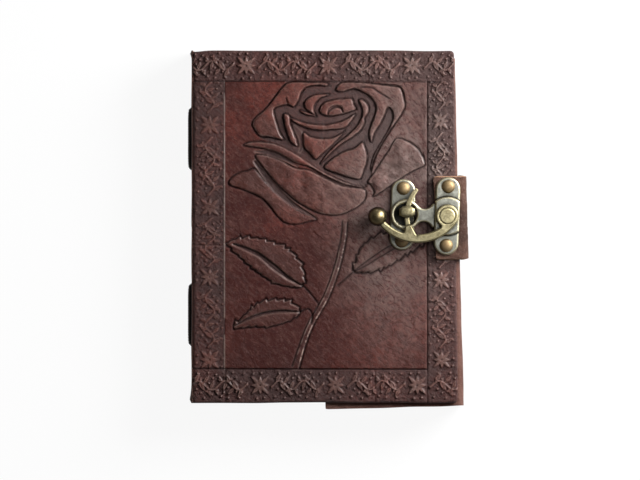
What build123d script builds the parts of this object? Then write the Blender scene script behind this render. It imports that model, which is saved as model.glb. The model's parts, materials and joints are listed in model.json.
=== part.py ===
from build123d import *
import os
from math import acos, cos, degrees, radians, sin, sqrt, tan

# A leather journal closed by a swing clasp, lying on its back cover with the front cover up.
# Sizes are in millimetres and angles in degrees. X runs from the spine to the fore edge, Y to the
# head and Z up. The origin is the middle of the back cover's underside.

# Front cover, spine and back cover
cover_width = 114.3
cover_height = 152.4
cover_thickness = 2.2
cover_slant = 1.6  # the hand-cut fore edge stands out this much more at the tail than at the head
cover_corner = 1.6
cover_chamfer = 0.5
back_thickness = 2.0
spine_thickness = 2.0
spine_chamfer = 0.9
head_flare_out = 1.1
head_flare_length = 5.0
tail_flare_out = 1.3
tail_flare_length = 11.0

# Tooled lines that frame the middle panel of the front cover
line_width = 0.9
line_depth = 0.35
spine_border = 14.4
fore_border = 12.4
head_border = 13.4
tail_border = 14.6

# Text block
signature_count = 5
page_width = 109.0
page_height = 147.0
block_thickness = 18.6
fold_round = 1.3

# Sewing, one cord for each signature
cord_diameter = 1.6
cord_sides = 6
cord_bend = 1.3
cord_tail = 6.0
cord_sink = 0.25
cord_fold_depth = 2.0
stitch_near = 25.1  # from the middle of the spine to the near end of each long stitch
stitch_far = 51.0

# Leather round the fore edge: a wall that folds in to a flap under the front cover
flap_thickness = 1.8
flap_depth = 60.3
flap_height = 149.1
flap_shift = -2.3  # from the middle of the cover to the middle of the flap
flap_skew = 1.5
flap_corner = 1.2
flap_fold_radius = 2.6
fold_overhang = 1.65

# Clasp strap
strap_thickness = 2.0
strap_width = 36.5
strap_shift = 3.9
strap_length = 13.2
strap_bulge = 2.6  # from the wall's outer face to the axis of the strap's fold
strap_foot = 6.0
strap_leave = 17.0  # height where the strap leaves the wall
strap_corner = 1.4

# Hasp plate, placed from the hook's pivot
pivot_inset = 3.8
pivot_shift = 4.6
plate_thickness = 1.4
plate_chamfer = 0.4
hasp_length = 33.4
hasp_width = 10.4
hasp_lean = -2.0
hasp_rivet_pitch = 25.5
boss_radius = 8.2
boss_rise = 1.8
ring_lead = 0.5  # from the circle that the prong follows to the middle of the ring
ring_radius = 6.4
ring_band = 1.4
neck_waist = 5.4
neck_hollow_share = 0.635  # radius of the neck's hollow sides, from the gap between plate and ring
neck_root = 10.2

# Staple and its plate, placed on the circle that the hook's prong follows
staple_angle = 174.0
staple_length = 6.2
staple_depth = 4.3
staple_bar = 1.7
staple_bar_chamfer = 0.7
staple_leg = 1.5
staple_leg_depth = 2.6
staple_plate_length = 30.5
staple_plate_width = 10.4
staple_plate_lean = -1.8
staple_plate_aside = -1.9
staple_plate_down = -1.2
staple_rivet_pitch = 22.7

# Swing hook, drawn from its pivot
hook_thickness = 2.0
hook_chamfer = 0.5
hook_corner = 0.8
eye_radius = 4.95
eye_recess = 0.6
arm_radius = 20.9
arm_width = 3.4
arm_tip_width = 2.4
arm_outer_angle = -36.0  # where the arm's outer edge runs on from the eye
arm_inner_angle = -115.0  # where its inner edge meets the eye
ball_angle = 209.0
ball_radius = 4.15
ball_flat_count = 5
ball_seat = 2.0  # from the end of the arm to the middle of the ball
prong_radius = 17.4
prong_width = 2.1
prong_tip_width = 1.4
prong_thickness = 1.4
prong_tip_angle = 138.0
prong_base_angle = 206.0
prong_root_angle = 193.0
prong_root_width = 2.6
prong_foot_width = 6.4

# Pivot pin
pin_radius = 1.8
pin_head_radius = 3.45
pin_head_height = 0.9

# Domed rivets
rivet_dome_radius = 2.9
rivet_dome_height = 1.6
dome_flat_count = 2
rivet_post_radius = 1.2
rivet_back_radius = 2.6
rivet_back_thickness = 0.8

# Clearances
layer_gap = 0.3
running_gap = 0.15
hole_clearance = 0.1
pin_clearance = 0.05
cord_clearance = 0.15

# Heights of the stacked layers
block_bottom = back_thickness
flap_bottom = block_bottom + block_thickness + layer_gap
flap_top = flap_bottom + flap_thickness
cover_bottom = flap_top + layer_gap
cover_middle = cover_bottom + cover_thickness / 2
cover_top = cover_bottom + cover_thickness
strap_bottom = cover_top + layer_gap
strap_middle = strap_bottom + strap_thickness / 2
strap_top = strap_bottom + strap_thickness
hook_bottom = strap_top + plate_thickness + boss_rise + running_gap
bar_bottom = hook_bottom + prong_thickness + layer_gap

# Main places across the book
spine_x = -cover_width / 2
fore_x = cover_width / 2
hinge_x = spine_x + cover_thickness / 2
page_spine_x = spine_x + spine_thickness
page_fore_x = page_spine_x + page_width
wall_x = fore_x + fold_overhang
wall_fold_z = flap_thickness / 2
cord_radius = cord_diameter / 2
cord_out_x = spine_x - cord_radius + cord_sink
cord_in_x = page_spine_x + cord_fold_depth
pivot_x = fore_x - pivot_inset
staple_x = pivot_x + prong_radius * cos(radians(staple_angle))
staple_y = pivot_shift + prong_radius * sin(radians(staple_angle))
ring_reach = prong_radius + ring_lead
neck_curve = neck_hollow_share * (ring_reach - ring_radius - hasp_width / 2)

# The wall, the flap and the strap share a frame that follows the skewed fold: in it, x is 0 on the
# wall's outer face and y runs along the fold.
fold_frame = Location((wall_x, 0, 0), (0, 0, flap_skew))
hasp_frame = Location((pivot_x, pivot_shift, strap_top), (0, 0, hasp_lean))
hook_frame = Location((pivot_x, pivot_shift, hook_bottom))
staple_frame = Location((staple_x, staple_y, cover_top))
staple_plate_frame = Location(
    (staple_x + staple_plate_aside, staple_y + staple_plate_down, cover_top),
    (0, 0, staple_plate_lean),
)

upright = (Align.CENTER, Align.CENTER, Align.MIN)


def on_circle(radius, angle, x=0, y=0):
    return (x + radius * cos(radians(angle)), y + radius * sin(radians(angle)))


def fold_line_x(local_x, y):
    # X where the line along the fold at local_x crosses y
    return wall_x + local_x / cos(radians(flap_skew)) - y * tan(radians(flap_skew))


def along_y(face, length):
    # An outline in X and Z, drawn out evenly to both sides of y = 0
    return extrude(Plane.XZ * face, length / 2, both=True)


def round_nose(x, z, thickness, length):
    # The round end of a leather panel, about the axis that the panel folds on
    return Pos(x, 0, z) * Rot(90, 0, 0) * Cylinder(thickness / 2, length)


def top_edges(solid):
    return solid.edges().group_by(Axis.Z)[-1]


def both_rivets(pitch):
    return [Pos(0, -pitch / 2, 0), Pos(0, pitch / 2, 0)]


def rivet_cuts(frame, pitch, leather):
    # Post holes down through the leather below the frame, with a seat for each back
    hole = Pos(0, 0, -leather) * Cylinder(rivet_post_radius + hole_clearance, leather, align=upright)
    seat_radius = rivet_back_radius + hole_clearance
    seat = Pos(0, 0, -leather) * Cylinder(seat_radius, rivet_back_thickness, align=upright)
    return [frame * place * (hole + seat) for place in both_rivets(pitch)]


def plate_cuts(pitch):
    hole = Cylinder(rivet_post_radius + hole_clearance, plate_thickness, align=upright)
    return [place * hole for place in both_rivets(pitch)]


def turned_ball(radius, start_angle, flat_count):
    # Points up the outline of a ball, turned in flats from the start angle to the top
    step = (90 - start_angle) / flat_count
    return [on_circle(radius, start_angle + step * i) for i in range(flat_count)] + [(0, radius)]


def rivets(frame, pitch, leather):
    # Each turned as one piece: a post that ends on its back, and a domed cap on the plate
    ball = (rivet_dome_radius**2 + rivet_dome_height**2) / (2 * rivet_dome_height)
    rim_angle = degrees(acos(rivet_dome_radius / ball))
    lift = plate_thickness + rivet_dome_height - ball
    post_foot = rivet_back_thickness - leather
    profile = Polyline(
        (0, post_foot),
        (rivet_post_radius, post_foot),
        (rivet_post_radius, plate_thickness),
        *[(x, z + lift) for x, z in turned_ball(ball, rim_angle, dome_flat_count)],
        close=True,
    )
    rivet = revolve(Plane.XZ * make_face(profile), Axis.Z)
    return [frame * place * rivet for place in both_rivets(pitch)]


def rivet_backs(frame, pitch, leather):
    back = Pos(0, 0, -leather) * Cylinder(rivet_back_radius, rivet_back_thickness, align=upright)
    return [frame * place * back for place in both_rivets(pitch)]


def tooled_lines():
    left = spine_x + spine_border
    right = fore_x - fore_border
    low = -cover_height / 2 + tail_border
    high = cover_height / 2 - head_border
    inside = Rectangle(right - left, high - low)
    outside = Rectangle(right - left + 2 * line_width, high - low + 2 * line_width)
    middle = Pos((left + right) / 2, (low + high) / 2, cover_top)
    return middle * extrude(outside - inside, -line_depth)


def front_cover():
    half = cover_height / 2
    outline = Polyline(
        (hinge_x, -half),
        (fore_x + cover_slant / 2, -half),
        (fore_x - cover_slant / 2, half),
        (hinge_x, half),
        close=True,
    )
    panel = make_face(outline)
    panel = fillet(panel.vertices().sort_by(Axis.X)[-2:], cover_corner)
    cover = extrude(Pos(0, 0, cover_bottom) * panel, cover_thickness)
    rim = top_edges(cover).sort_by(Axis.X)[1:]
    cover = chamfer(rim, cover_chamfer)
    cover += round_nose(hinge_x, cover_middle, cover_thickness, cover_height)
    cover -= tooled_lines()
    return cover - rivet_cuts(staple_plate_frame, staple_rivet_pitch, cover_thickness)


def spine_line(x):
    # The spine seen from above, with its ends flared outward at the tail and the head
    half = cover_height / 2
    low = -half + tail_flare_length
    high = half - head_flare_length
    tail = TangentArc((x, low), (x - tail_flare_out, -half), tangent=(0, -1))
    head = TangentArc((x, high), (x - head_flare_out, half), tangent=(0, 1))
    return [tail, Line((x, low), (x, high)), head]


def spine(cords):
    outer = spine_line(spine_x)
    inner = spine_line(page_spine_x)
    ends = [Line(outer[i] @ 1, inner[i] @ 1) for i in (0, 2)]
    panel = extrude(make_face(outer + inner + ends), cover_bottom - layer_gap)
    foot = panel.edges().group_by(Axis.Z)[0]
    foot = foot.filter_by(lambda edge: abs((edge % 0.5).Y) > abs((edge % 0.5).X))
    panel = chamfer(foot.sort_by(Axis.X)[:3], spine_chamfer)
    return panel - [sewing_cord(z, cord_radius + cord_clearance) for z in cords]


def back_cover():
    half = cover_height / 2
    spine_side = spine_line(page_spine_x)
    edge_x = -flap_thickness - layer_gap
    tail = spine_side[0] @ 1
    head = spine_side[2] @ 1
    rest = Polyline(
        (tail.X, tail.Y),
        (fold_line_x(edge_x, -half), -half),
        (fold_line_x(edge_x, half), half),
        (head.X, head.Y),
    )
    return extrude(make_face(spine_side + [rest]), back_thickness)


def signature_thickness():
    # At the fore edge, and at the spine, where the folds and the cord fill them out to the cover
    spine_height = cover_bottom - layer_gap - block_bottom
    return block_thickness / signature_count, spine_height / signature_count


def fold_height(index):
    return block_bottom + (index + 0.5) * signature_thickness()[1]


def signature(index):
    thin, thick = signature_thickness()
    flap_end = fold_line_x(-flap_depth, flap_shift + flap_height / 2)
    swell_x = flap_end - flap_corner
    low = block_bottom + index * thin
    spine_low = block_bottom + index * thick
    outline = Polyline(
        (page_spine_x, spine_low),
        (swell_x, low),
        (page_fore_x, low),
        (page_fore_x, low + thin),
        (swell_x, low + thin),
        (page_spine_x, spine_low + thick),
        close=True,
    )
    pages = make_face(outline)
    pages = fillet(pages.vertices().sort_by(Axis.X)[:2], fold_round)
    room = cord_radius + cord_clearance
    groove_depth = cord_in_x + room - page_spine_x
    groove_length = 2 * (stitch_far + cord_tail + cord_clearance)
    groove = Box(2 * groove_depth, groove_length, 2 * room)
    return along_y(pages, page_height) - Pos(page_spine_x, 0, fold_height(index)) * groove


def cut_corners(points, length):
    # The same route with each corner cut off at this length from its point
    points = [Vector(*point) for point in points]
    route = [points[0]]
    for before, corner, after in zip(points, points[1:], points[2:]):
        route.append(corner + (before - corner).normalized() * length)
        route.append(corner + (after - corner).normalized() * length)
    return route + [points[-1]]


def sewing_cord(z, radius):
    # In along the fold, and out for one long stitch in each half of the spine
    route = [
        (cord_in_x, stitch_near, z),
        (cord_out_x, stitch_near, z),
        (cord_out_x, stitch_far, z),
        (cord_in_x, stitch_far, z),
        (cord_in_x, stitch_far + cord_tail, z),
    ]
    mirrored = [(x, -y, height) for x, y, height in reversed(route)]
    path = Polyline(*cut_corners(mirrored + route, cord_bend))
    section = Plane(path @ 0, z_dir=path % 0) * RegularPolygon(radius, cord_sides)
    return sweep(section, path, transition=Transition.RIGHT)


def fore_edge_wall():
    turn_z = flap_top - flap_fold_radius
    inner_radius = flap_fold_radius - flap_thickness
    corner = (-flap_fold_radius, turn_z)
    outline = [
        ThreePointArc((-flap_thickness, wall_fold_z), (-flap_thickness / 2, 0), (0, wall_fold_z)),
        Line((0, wall_fold_z), (0, turn_z)),
        CenterArc(corner, flap_fold_radius, 0, 90),
        Line((-flap_fold_radius, flap_top), (-flap_fold_radius, flap_bottom)),
        CenterArc(corner, inner_radius, 0, 90),
        Line((-flap_thickness, turn_z), (-flap_thickness, wall_fold_z)),
    ]
    return fold_frame * Pos(0, flap_shift, 0) * along_y(make_face(outline), flap_height)


def inner_flap():
    width = flap_depth - flap_fold_radius
    panel = Rectangle(width, flap_height)
    panel = fillet(panel.vertices().sort_by(Axis.X)[:2], flap_corner)
    middle_x = -flap_fold_radius - width / 2
    return fold_frame * Pos(middle_x, flap_shift, flap_bottom) * extrude(panel, flap_thickness)


def strap_base():
    # Up the wall from its foot, then out to just below the axis of the strap's fold
    half = strap_thickness / 2
    end_z = strap_bottom - layer_gap
    outline = Polyline(
        (0, strap_foot),
        (strap_thickness, strap_foot),
        (strap_thickness, strap_leave),
        (strap_bulge + half, end_z),
        (strap_bulge - half, end_z),
        (0, strap_leave),
        close=True,
    )
    return fold_frame * Pos(0, strap_shift, 0) * along_y(make_face(outline), strap_width)


def strap_end():
    tab = Rectangle(strap_length, strap_width)
    tab = fillet(tab.vertices().sort_by(Axis.X)[:2], strap_corner)
    strap = Pos(strap_bulge - strap_length / 2, 0, strap_bottom) * extrude(tab, strap_thickness)
    strap += round_nose(strap_bulge, strap_middle, strap_thickness, strap_width)
    strap = fold_frame * Pos(0, strap_shift, 0) * strap
    return strap - rivet_cuts(hasp_frame, hasp_rivet_pitch, strap_thickness)


def hasp_outline():
    # The long plate, and a neck with hollow sides that run on from the ring's outside
    plate = SlotOverall(hasp_length, hasp_width, rotation=90)
    curve_y = neck_waist / 2 + neck_curve
    reach = ring_radius + neck_curve
    curve_run = sqrt(reach**2 - curve_y**2)
    curve_x = curve_run - ring_reach
    neck_start = curve_run * ring_radius / reach - ring_reach
    neck = Pos(neck_start / 2, 0) * Rectangle(-neck_start, neck_root)
    neck -= [Pos(curve_x, side * curve_y) * Circle(neck_curve) for side in (-1, 1)]
    ring = Pos(-ring_reach, 0)
    return plate, plate + neck + ring * Circle(ring_radius) - ring * Circle(ring_radius - ring_band)


def hasp_plate():
    plate, outline = hasp_outline()
    hasp = extrude(outline, plate_thickness)
    hasp = chamfer(top_edges(hasp), plate_chamfer)
    boss = extrude(plate & Circle(boss_radius), plate_thickness + boss_rise)
    boss = chamfer(top_edges(boss), plate_chamfer)
    pin_hole = Cylinder(pin_radius + pin_clearance, plate_thickness + boss_rise, align=upright)
    return hasp_frame * (hasp + boss - pin_hole - plate_cuts(hasp_rivet_pitch))


def arm_point(inset, angle):
    # A point on the arm, which curves about a center in line with the eye
    center = on_circle(eye_radius - arm_radius, arm_outer_angle)
    return on_circle(arm_radius - inset, angle, *center)


def hook_outline():
    # Round the eye, along the arm's inner edge to the ball, and back along its outer edge
    end_angle = ball_angle + degrees(ball_seat / arm_radius)
    eye_sweep = 360 + arm_inner_angle - arm_outer_angle
    eye = CenterArc((0, 0), eye_radius, arm_outer_angle, eye_sweep)
    inner = ThreePointArc(eye @ 1, arm_point(arm_width, 270), arm_point(arm_tip_width, end_angle))
    outer = ThreePointArc(arm_point(0, end_angle), arm_point(0, 270), eye @ 0)
    return make_face([eye, inner, Line(inner @ 1, outer @ 0), outer])


def prong_face():
    # A tapered arc about the pivot, so that it draws out along its own length
    middle_angle = (prong_base_angle + prong_tip_angle) / 2
    middle_width = (prong_width + prong_tip_width) / 2
    widths = [
        (prong_base_angle, prong_width),
        (middle_angle, middle_width),
        (prong_tip_angle, prong_tip_width),
    ]
    outer = ThreePointArc(*[on_circle(prong_radius + width / 2, angle) for angle, width in widths])
    inner = ThreePointArc(*[on_circle(prong_radius - width / 2, angle) for angle, width in widths])
    return make_face([outer, inner, Line(outer @ 0, inner @ 0), Line(outer @ 1, inner @ 1)])


def prong_root():
    # Where the prong stands on the arm, wider at the foot
    foot_x = on_circle(prong_radius, prong_base_angle)[0]
    foot_y = arm_point(arm_width / 2, 270)[1]
    outline = Polyline(
        on_circle(prong_radius + prong_root_width / 2, prong_root_angle),
        on_circle(prong_radius - prong_root_width / 2, prong_root_angle),
        (foot_x + prong_foot_width / 2, foot_y),
        (foot_x - prong_foot_width / 2, foot_y),
        close=True,
    )
    return make_face(outline)


def swing_hook():
    outline = hook_outline() + prong_root()
    # All corners but the two that the ball hides and the one where the eye runs on into the arm
    corners = outline.vertices().sort_by(Axis.X)[2:-1]
    outline = fillet(corners, hook_corner)
    hook = extrude(outline, hook_thickness)
    hook = chamfer(top_edges(hook), hook_chamfer)
    hook += extrude(prong_face(), prong_thickness)
    hook -= Cylinder(pin_radius + pin_clearance, hook_thickness, align=upright)
    recess = Cylinder(pin_head_radius + hole_clearance, eye_recess, align=upright)
    return hook_frame * (hook - Pos(0, 0, hook_thickness - eye_recess) * recess)


def ball_knob(hook):
    x, y = arm_point(arm_tip_width / 2, ball_angle)
    profile = Polyline(*turned_ball(ball_radius, -90, ball_flat_count), close=True)
    ball = revolve(Plane.XZ * make_face(profile), Axis.Z)
    return hook_frame * Pos(x, y, hook_thickness / 2) * ball - hook


def hook_pivot():
    head_z = hook_thickness - eye_recess + pin_clearance
    foot_z = strap_top - hook_bottom
    shank = Pos(0, 0, foot_z) * Cylinder(pin_radius, head_z - foot_z, align=upright)
    head = Pos(0, 0, head_z) * Cylinder(pin_head_radius, pin_head_height, align=upright)
    head = chamfer(top_edges(head), plate_chamfer)
    return hook_frame * (shank + head)


def staple_legs(clearance, height):
    leg = Box(staple_leg + 2 * clearance, staple_leg_depth + 2 * clearance, height, align=upright)
    leg_x = (staple_length - staple_leg) / 2
    return [staple_frame * Pos(side * leg_x, 0, 0) * leg for side in (-1, 1)]


def staple():
    bar = Box(staple_length, staple_depth, staple_bar, align=upright)
    bar = chamfer(bar.edges(), staple_bar_chamfer)
    bar = staple_frame * Pos(0, 0, bar_bottom - cover_top) * bar
    return bar + staple_legs(0, bar_bottom + staple_bar / 2 - cover_top)


def staple_plate():
    plate = extrude(SlotOverall(staple_plate_length, staple_plate_width, rotation=90), plate_thickness)
    plate = chamfer(top_edges(plate), plate_chamfer)
    plate = staple_plate_frame * (plate - plate_cuts(staple_rivet_pitch))
    return plate - staple_legs(hole_clearance, plate_thickness)


def journal():
    fold_heights = [fold_height(i) for i in range(signature_count)]
    hook = swing_hook()
    pieces = {
        "back_cover": back_cover(),
        "spine": spine(fold_heights),
        "front_cover": front_cover(),
        "fore_edge_wall": fore_edge_wall(),
        "inner_flap": inner_flap(),
        "strap_base": strap_base(),
        "strap_end": strap_end(),
        "hasp_plate": hasp_plate(),
        "hasp_rivets": rivets(hasp_frame, hasp_rivet_pitch, strap_thickness),
        "hasp_rivet_backs": rivet_backs(hasp_frame, hasp_rivet_pitch, strap_thickness),
        "hook_pivot": hook_pivot(),
        "swing_hook": hook,
        "ball_knob": ball_knob(hook),
        "staple_plate": staple_plate(),
        "staple": staple(),
        "staple_rivets": rivets(staple_plate_frame, staple_rivet_pitch, cover_thickness),
        "staple_rivet_backs": rivet_backs(staple_plate_frame, staple_rivet_pitch, cover_thickness),
    }
    for i, z in enumerate(fold_heights):
        pieces[f"signature_{i + 1}"] = signature(i)
        pieces[f"sewing_cord_{i + 1}"] = sewing_cord(z, cord_radius)
    return pieces


os.makedirs("parts", exist_ok=True)
for name, piece in journal().items():
    solids = piece if isinstance(piece, list) else piece.solids()
    export_step(Compound(children=list(solids)), f"parts/{name}.step")
print("wrote the journal's pieces")
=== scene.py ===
import bpy
import bmesh
import json
import math
import numpy as np
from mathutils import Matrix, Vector

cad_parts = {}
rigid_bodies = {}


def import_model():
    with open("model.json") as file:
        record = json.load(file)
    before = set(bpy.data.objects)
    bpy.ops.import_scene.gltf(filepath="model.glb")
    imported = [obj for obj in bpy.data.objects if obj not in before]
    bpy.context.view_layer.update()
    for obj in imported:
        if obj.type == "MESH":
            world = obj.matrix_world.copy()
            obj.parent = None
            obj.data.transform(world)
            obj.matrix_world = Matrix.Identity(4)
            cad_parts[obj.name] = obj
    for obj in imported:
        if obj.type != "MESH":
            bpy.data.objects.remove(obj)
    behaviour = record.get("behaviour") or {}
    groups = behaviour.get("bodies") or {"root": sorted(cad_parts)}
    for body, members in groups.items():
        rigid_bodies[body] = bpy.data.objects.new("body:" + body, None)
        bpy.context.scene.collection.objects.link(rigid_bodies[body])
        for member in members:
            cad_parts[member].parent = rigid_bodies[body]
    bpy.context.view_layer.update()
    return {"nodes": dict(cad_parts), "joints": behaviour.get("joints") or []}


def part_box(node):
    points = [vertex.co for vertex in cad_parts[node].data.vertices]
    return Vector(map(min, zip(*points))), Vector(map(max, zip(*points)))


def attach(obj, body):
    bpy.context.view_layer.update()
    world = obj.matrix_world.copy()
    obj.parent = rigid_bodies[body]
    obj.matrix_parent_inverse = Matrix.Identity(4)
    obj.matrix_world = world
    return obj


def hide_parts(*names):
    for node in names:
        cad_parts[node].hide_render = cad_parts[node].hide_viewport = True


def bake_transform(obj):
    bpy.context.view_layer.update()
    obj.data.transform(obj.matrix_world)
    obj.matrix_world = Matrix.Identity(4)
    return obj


for leftOver in list(bpy.data.objects):
    bpy.data.objects.remove(leftOver)
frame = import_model()
mm = 0.001
print("frame loaded:", len(frame["nodes"]), "nodes")


def boxOf(node):  # lowest and highest corner in millimetres
    low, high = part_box(node)
    return np.array(low) / mm, np.array(high) / mm


class Nodes:  # adds nodes to a tree; sizes are in millimetres
    def __init__(self, tree):
        self.tree = tree

    def plug(self, node, inputs):
        for name, value in inputs.items():
            socket = node.inputs[name]
            if isinstance(value, bpy.types.NodeSocket):
                self.tree.links.new(value, socket)
            elif socket.type == "RGBA":
                socket.default_value = (*value, 1)
            else:
                socket.default_value = value

    def add(self, kind, inputs=None, **settings):
        node = self.tree.nodes.new("ShaderNode" + kind)
        for name, value in settings.items():
            setattr(node, name, value)
        self.plug(node, inputs or {})
        return node

    def calc(self, kind, first, second):
        return self.add("Math", {0: first, 1: second}, operation=kind).outputs[0]

    def remap(self, value, low, high, toLow=0.0, toHigh=1.0, smooth=False):
        kind = "SMOOTHSTEP" if smooth else "LINEAR"
        inputs = {"Value": value, "From Min": low, "From Max": high, "To Min": toLow, "To Max": toHigh}
        return self.add("MapRange", inputs, interpolation_type=kind).outputs["Result"]


class Finish(Nodes):  # a material: colours laid over a base, and bumps that add up
    def __init__(self, name, base):
        self.material = bpy.data.materials.new(name)
        self.material.use_nodes = True
        super().__init__(self.material.node_tree)
        self.shader = self.tree.nodes["Principled BSDF"]
        self.where = self.add("TexCoord").outputs["Object"]
        self.base = base
        self.normal = {}

    def noise(self, size, detail=3.0, roughness=0.55, distortion=0.0, where=None):
        inputs = {"Vector": self.where if where is None else where, "Scale": 1 / (size * mm)}
        inputs.update({"Detail": detail, "Roughness": roughness, "Distortion": distortion})
        return self.add("TexNoise", inputs).outputs["Fac"]

    def attribute(self, name):
        return self.add("Attribute", attribute_name=name).outputs["Fac"]

    def away(self, where, place):
        return self.add("VectorMath", {0: where, 1: place}, operation="DISTANCE").outputs["Value"]

    def tint(self, factor, colour):
        self.base = self.add("Mix", {0: factor, 6: self.base, 7: colour}, data_type="RGBA").outputs[2]

    def bump(self, height, strength, distance, invert=False):
        inputs = {"Height": height, "Strength": strength, "Distance": distance * mm, **self.normal}
        self.normal = {"Normal": self.add("Bump", inputs, invert=invert).outputs["Normal"]}

    def done(self, inputs):
        self.plug(self.shader, {"Base Color": self.base, **self.normal, **inputs})
        return self.material


leatherLook = {
    "deep": (0.034, 0.0066, 0.0050),
    "warm": (0.100, 0.021, 0.0145),
    "dusty": (0.122, 0.056, 0.046),
    # colour of the painted sheen
    "handled": (0.130, 0.100, 0.091),
    "recess": (0.040, 0.029, 0.028),
    "ridge": (0.36, 0.25, 0.21),
    "cut": (0.006, 0.0025, 0.0025),
    "strap": (0.108, 0.053, 0.036),
    "grainSize": 0.55,
    "grainDepth": 0.09,
    "wrinkleDepth": 0.38,
    "poreDepth": 0.08,
    "creaseDepth": 0.22,
    "gloss": 0.13,
    "hand": (0.032, 0.006, 0.024),  # middle of the painted sheen, beside the clasp
    "handScale": (1, 0.45, 1),  # the painted sheen is taller than wide
    "paintedShadeMiddle": (-0.016, -0.040, 0.024),  # and the middle of a painted shade, darker towards the lower left
    "waxRoughness": 0.26,  # the wax that stays shiny on rubbed edges
}


def leatherGrain(mat):
    look = leatherLook
    cell = {"Vector": mat.where, "Scale": 1 / (look["grainSize"] * mm)}
    cells = mat.add("TexVoronoi", cell, feature="DISTANCE_TO_EDGE").outputs["Distance"]
    turn = {"Vector": mat.where, "Scale": (1.0, 2.6, 1.0), "Rotation": (0, 0, math.radians(48))}
    turned = mat.add("Mapping", turn, vector_type="TEXTURE").outputs["Vector"]
    wrinkles = mat.noise(1.3, 5.0, 0.66, where=turned)
    folded = mat.noise(2.2, 3.0, 0.6, 1.1, where=turned)
    aside = mat.calc("ABSOLUTE", mat.calc("SUBTRACT", folded, 0.5), 0.0)
    creases = mat.remap(aside, 0.0, 0.03, 1.0, 0.0)
    mat.bump(mat.remap(cells, 0.0, 0.22), 0.55, look["grainDepth"])
    mat.bump(wrinkles, 0.8, look["wrinkleDepth"])
    mat.bump(mat.noise(0.28, 2.0, 0.6), 0.4, look["poreDepth"])
    mat.bump(creases, 0.8, look["creaseDepth"], invert=True)
    mat.plug(mat.shader, {"Specular IOR Level": look["gloss"]})
    return creases, wrinkles


def coverLeather():  # grain side, with the tooling's own light and dark
    look = leatherLook
    mat = Finish("coverLeather", look["deep"])
    creases, wrinkles = leatherGrain(mat)
    patches = mat.noise(9, 5.0, 0.62, 0.6)
    relief, pressed, cut, rubbed = (mat.attribute(name) for name in ("relief", "pressed", "cut", "rubbed"))
    mat.tint(mat.remap(mat.noise(34, 4.0, 0.6, 0.4), 0.36, 0.64, smooth=True), look["warm"])
    mat.tint(mat.remap(patches, 0.48, 0.72, 0.0, 0.3), look["dusty"])
    # painted shade: darker towards the lower left, where the lamps' light falls off
    mat.tint(mat.remap(mat.away(mat.where, look["paintedShadeMiddle"]), 0.016, 0.050, 0.86, 0.0, smooth=True), look["deep"])
    mat.tint(mat.remap(mat.noise(1.9, 5.0, 0.72), 0.39, 0.58, 0.75, 0.0), look["deep"])
    mat.tint(mat.remap(mat.noise(0.9, 2.0, 0.6), 0.58, 0.72, 0.0, 0.5), look["dusty"])
    # painted sheen: paler and greyer right of the middle, where the lamps' reflection lies
    tall = mat.add("VectorMath", {0: mat.where, 1: look["handScale"]}, operation="MULTIPLY").outputs["Vector"]
    hand = mat.remap(mat.away(tall, look["hand"]), 0.010, 0.043, 0.80, 0.0, smooth=True)
    hand = mat.calc("MULTIPLY", hand, mat.remap(wrinkles, 0.35, 0.62, 0.55, 1.0))
    hand = mat.calc("MULTIPLY", hand, mat.remap(patches, 0.38, 0.60, 0.62, 1.0))
    mat.tint(hand, look["handled"])
    mat.tint(mat.remap(wrinkles, 0.5, 0.72, 0.0, 0.5), look["dusty"])
    mat.tint(mat.remap(wrinkles, 0.32, 0.46, 0.55, 0.0), look["deep"])
    mat.tint(mat.calc("MULTIPLY", creases, 0.8), look["deep"])
    mat.tint(mat.calc("MULTIPLY", pressed, 0.65), look["recess"])
    mat.tint(mat.remap(relief, 0.1, 0.5, 0.0, 0.045), look["ridge"])
    # lighter along worn edges and gleam lines: partly real wear, partly painted highlight
    mat.tint(mat.calc("MULTIPLY", rubbed, 0.3), look["ridge"])
    # near black in the cut lines, and painted shadow inside the clasp's ring
    mat.tint(mat.calc("MULTIPLY", cut, 0.82), look["cut"])
    dull = mat.remap(patches, 0.3, 0.75, 0.44, 0.58)
    return mat.done({
        "Roughness": mat.calc("SUBTRACT", dull, mat.calc("MULTIPLY", rubbed, 0.14)),
        "Coat Weight": mat.calc("MULTIPLY", rubbed, 0.65),
        "Coat Roughness": look["waxRoughness"],
    })


def plainLeather(name, deep, light, fleck):
    mat = Finish(name, deep)
    leatherGrain(mat)
    clouds = mat.noise(24, 5.0, 0.6, 0.5)
    mat.tint(mat.remap(clouds, 0.34, 0.68, smooth=True), light)
    mat.tint(mat.remap(mat.noise(0.8, 3.0, 0.6), 0.56, 0.74, 0.0, fleck), leatherLook["ridge"])
    return mat.done({"Roughness": mat.remap(clouds, 0.3, 0.7, 0.42, 0.6)})


def fibreLeather(name, dark, light, fibre):  # flesh side and cut edges: matted, dry fibres
    mat = Finish(name, dark)
    matted = mat.noise(fibre, 6.0, 0.7, 1.2)
    mat.tint(mat.remap(matted, 0.32, 0.7), light)
    mat.tint(mat.remap(mat.noise(11, 4.0, 0.6), 0.4, 0.7, 0.0, 0.4), dark)
    mat.bump(matted, 0.7, 0.09)
    return mat.done({"Roughness": 0.92})


skin = coverLeather()
wrapSkin = plainLeather("wrapLeather", (0.074, 0.031, 0.023), (0.130, 0.066, 0.052), 0.12)
strapSkin = plainLeather("strapLeather", (0.034, 0.015, 0.010), leatherLook["strap"], 0.34)
fleshSide = fibreLeather("fleshSide", (0.13, 0.068, 0.042), (0.27, 0.155, 0.095), 0.9)
cutEdge = fibreLeather("cutEdge", (0.085, 0.040, 0.024), (0.34, 0.19, 0.10), 0.45)
strapEdge = fibreLeather("strapEdge", (0.11, 0.052, 0.030), (0.42, 0.235, 0.13), 0.38)
print("leathers ready")


def placed(name, data):
    made = bpy.data.objects.new(name, data)
    bpy.context.scene.collection.objects.link(made)
    return made


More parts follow.
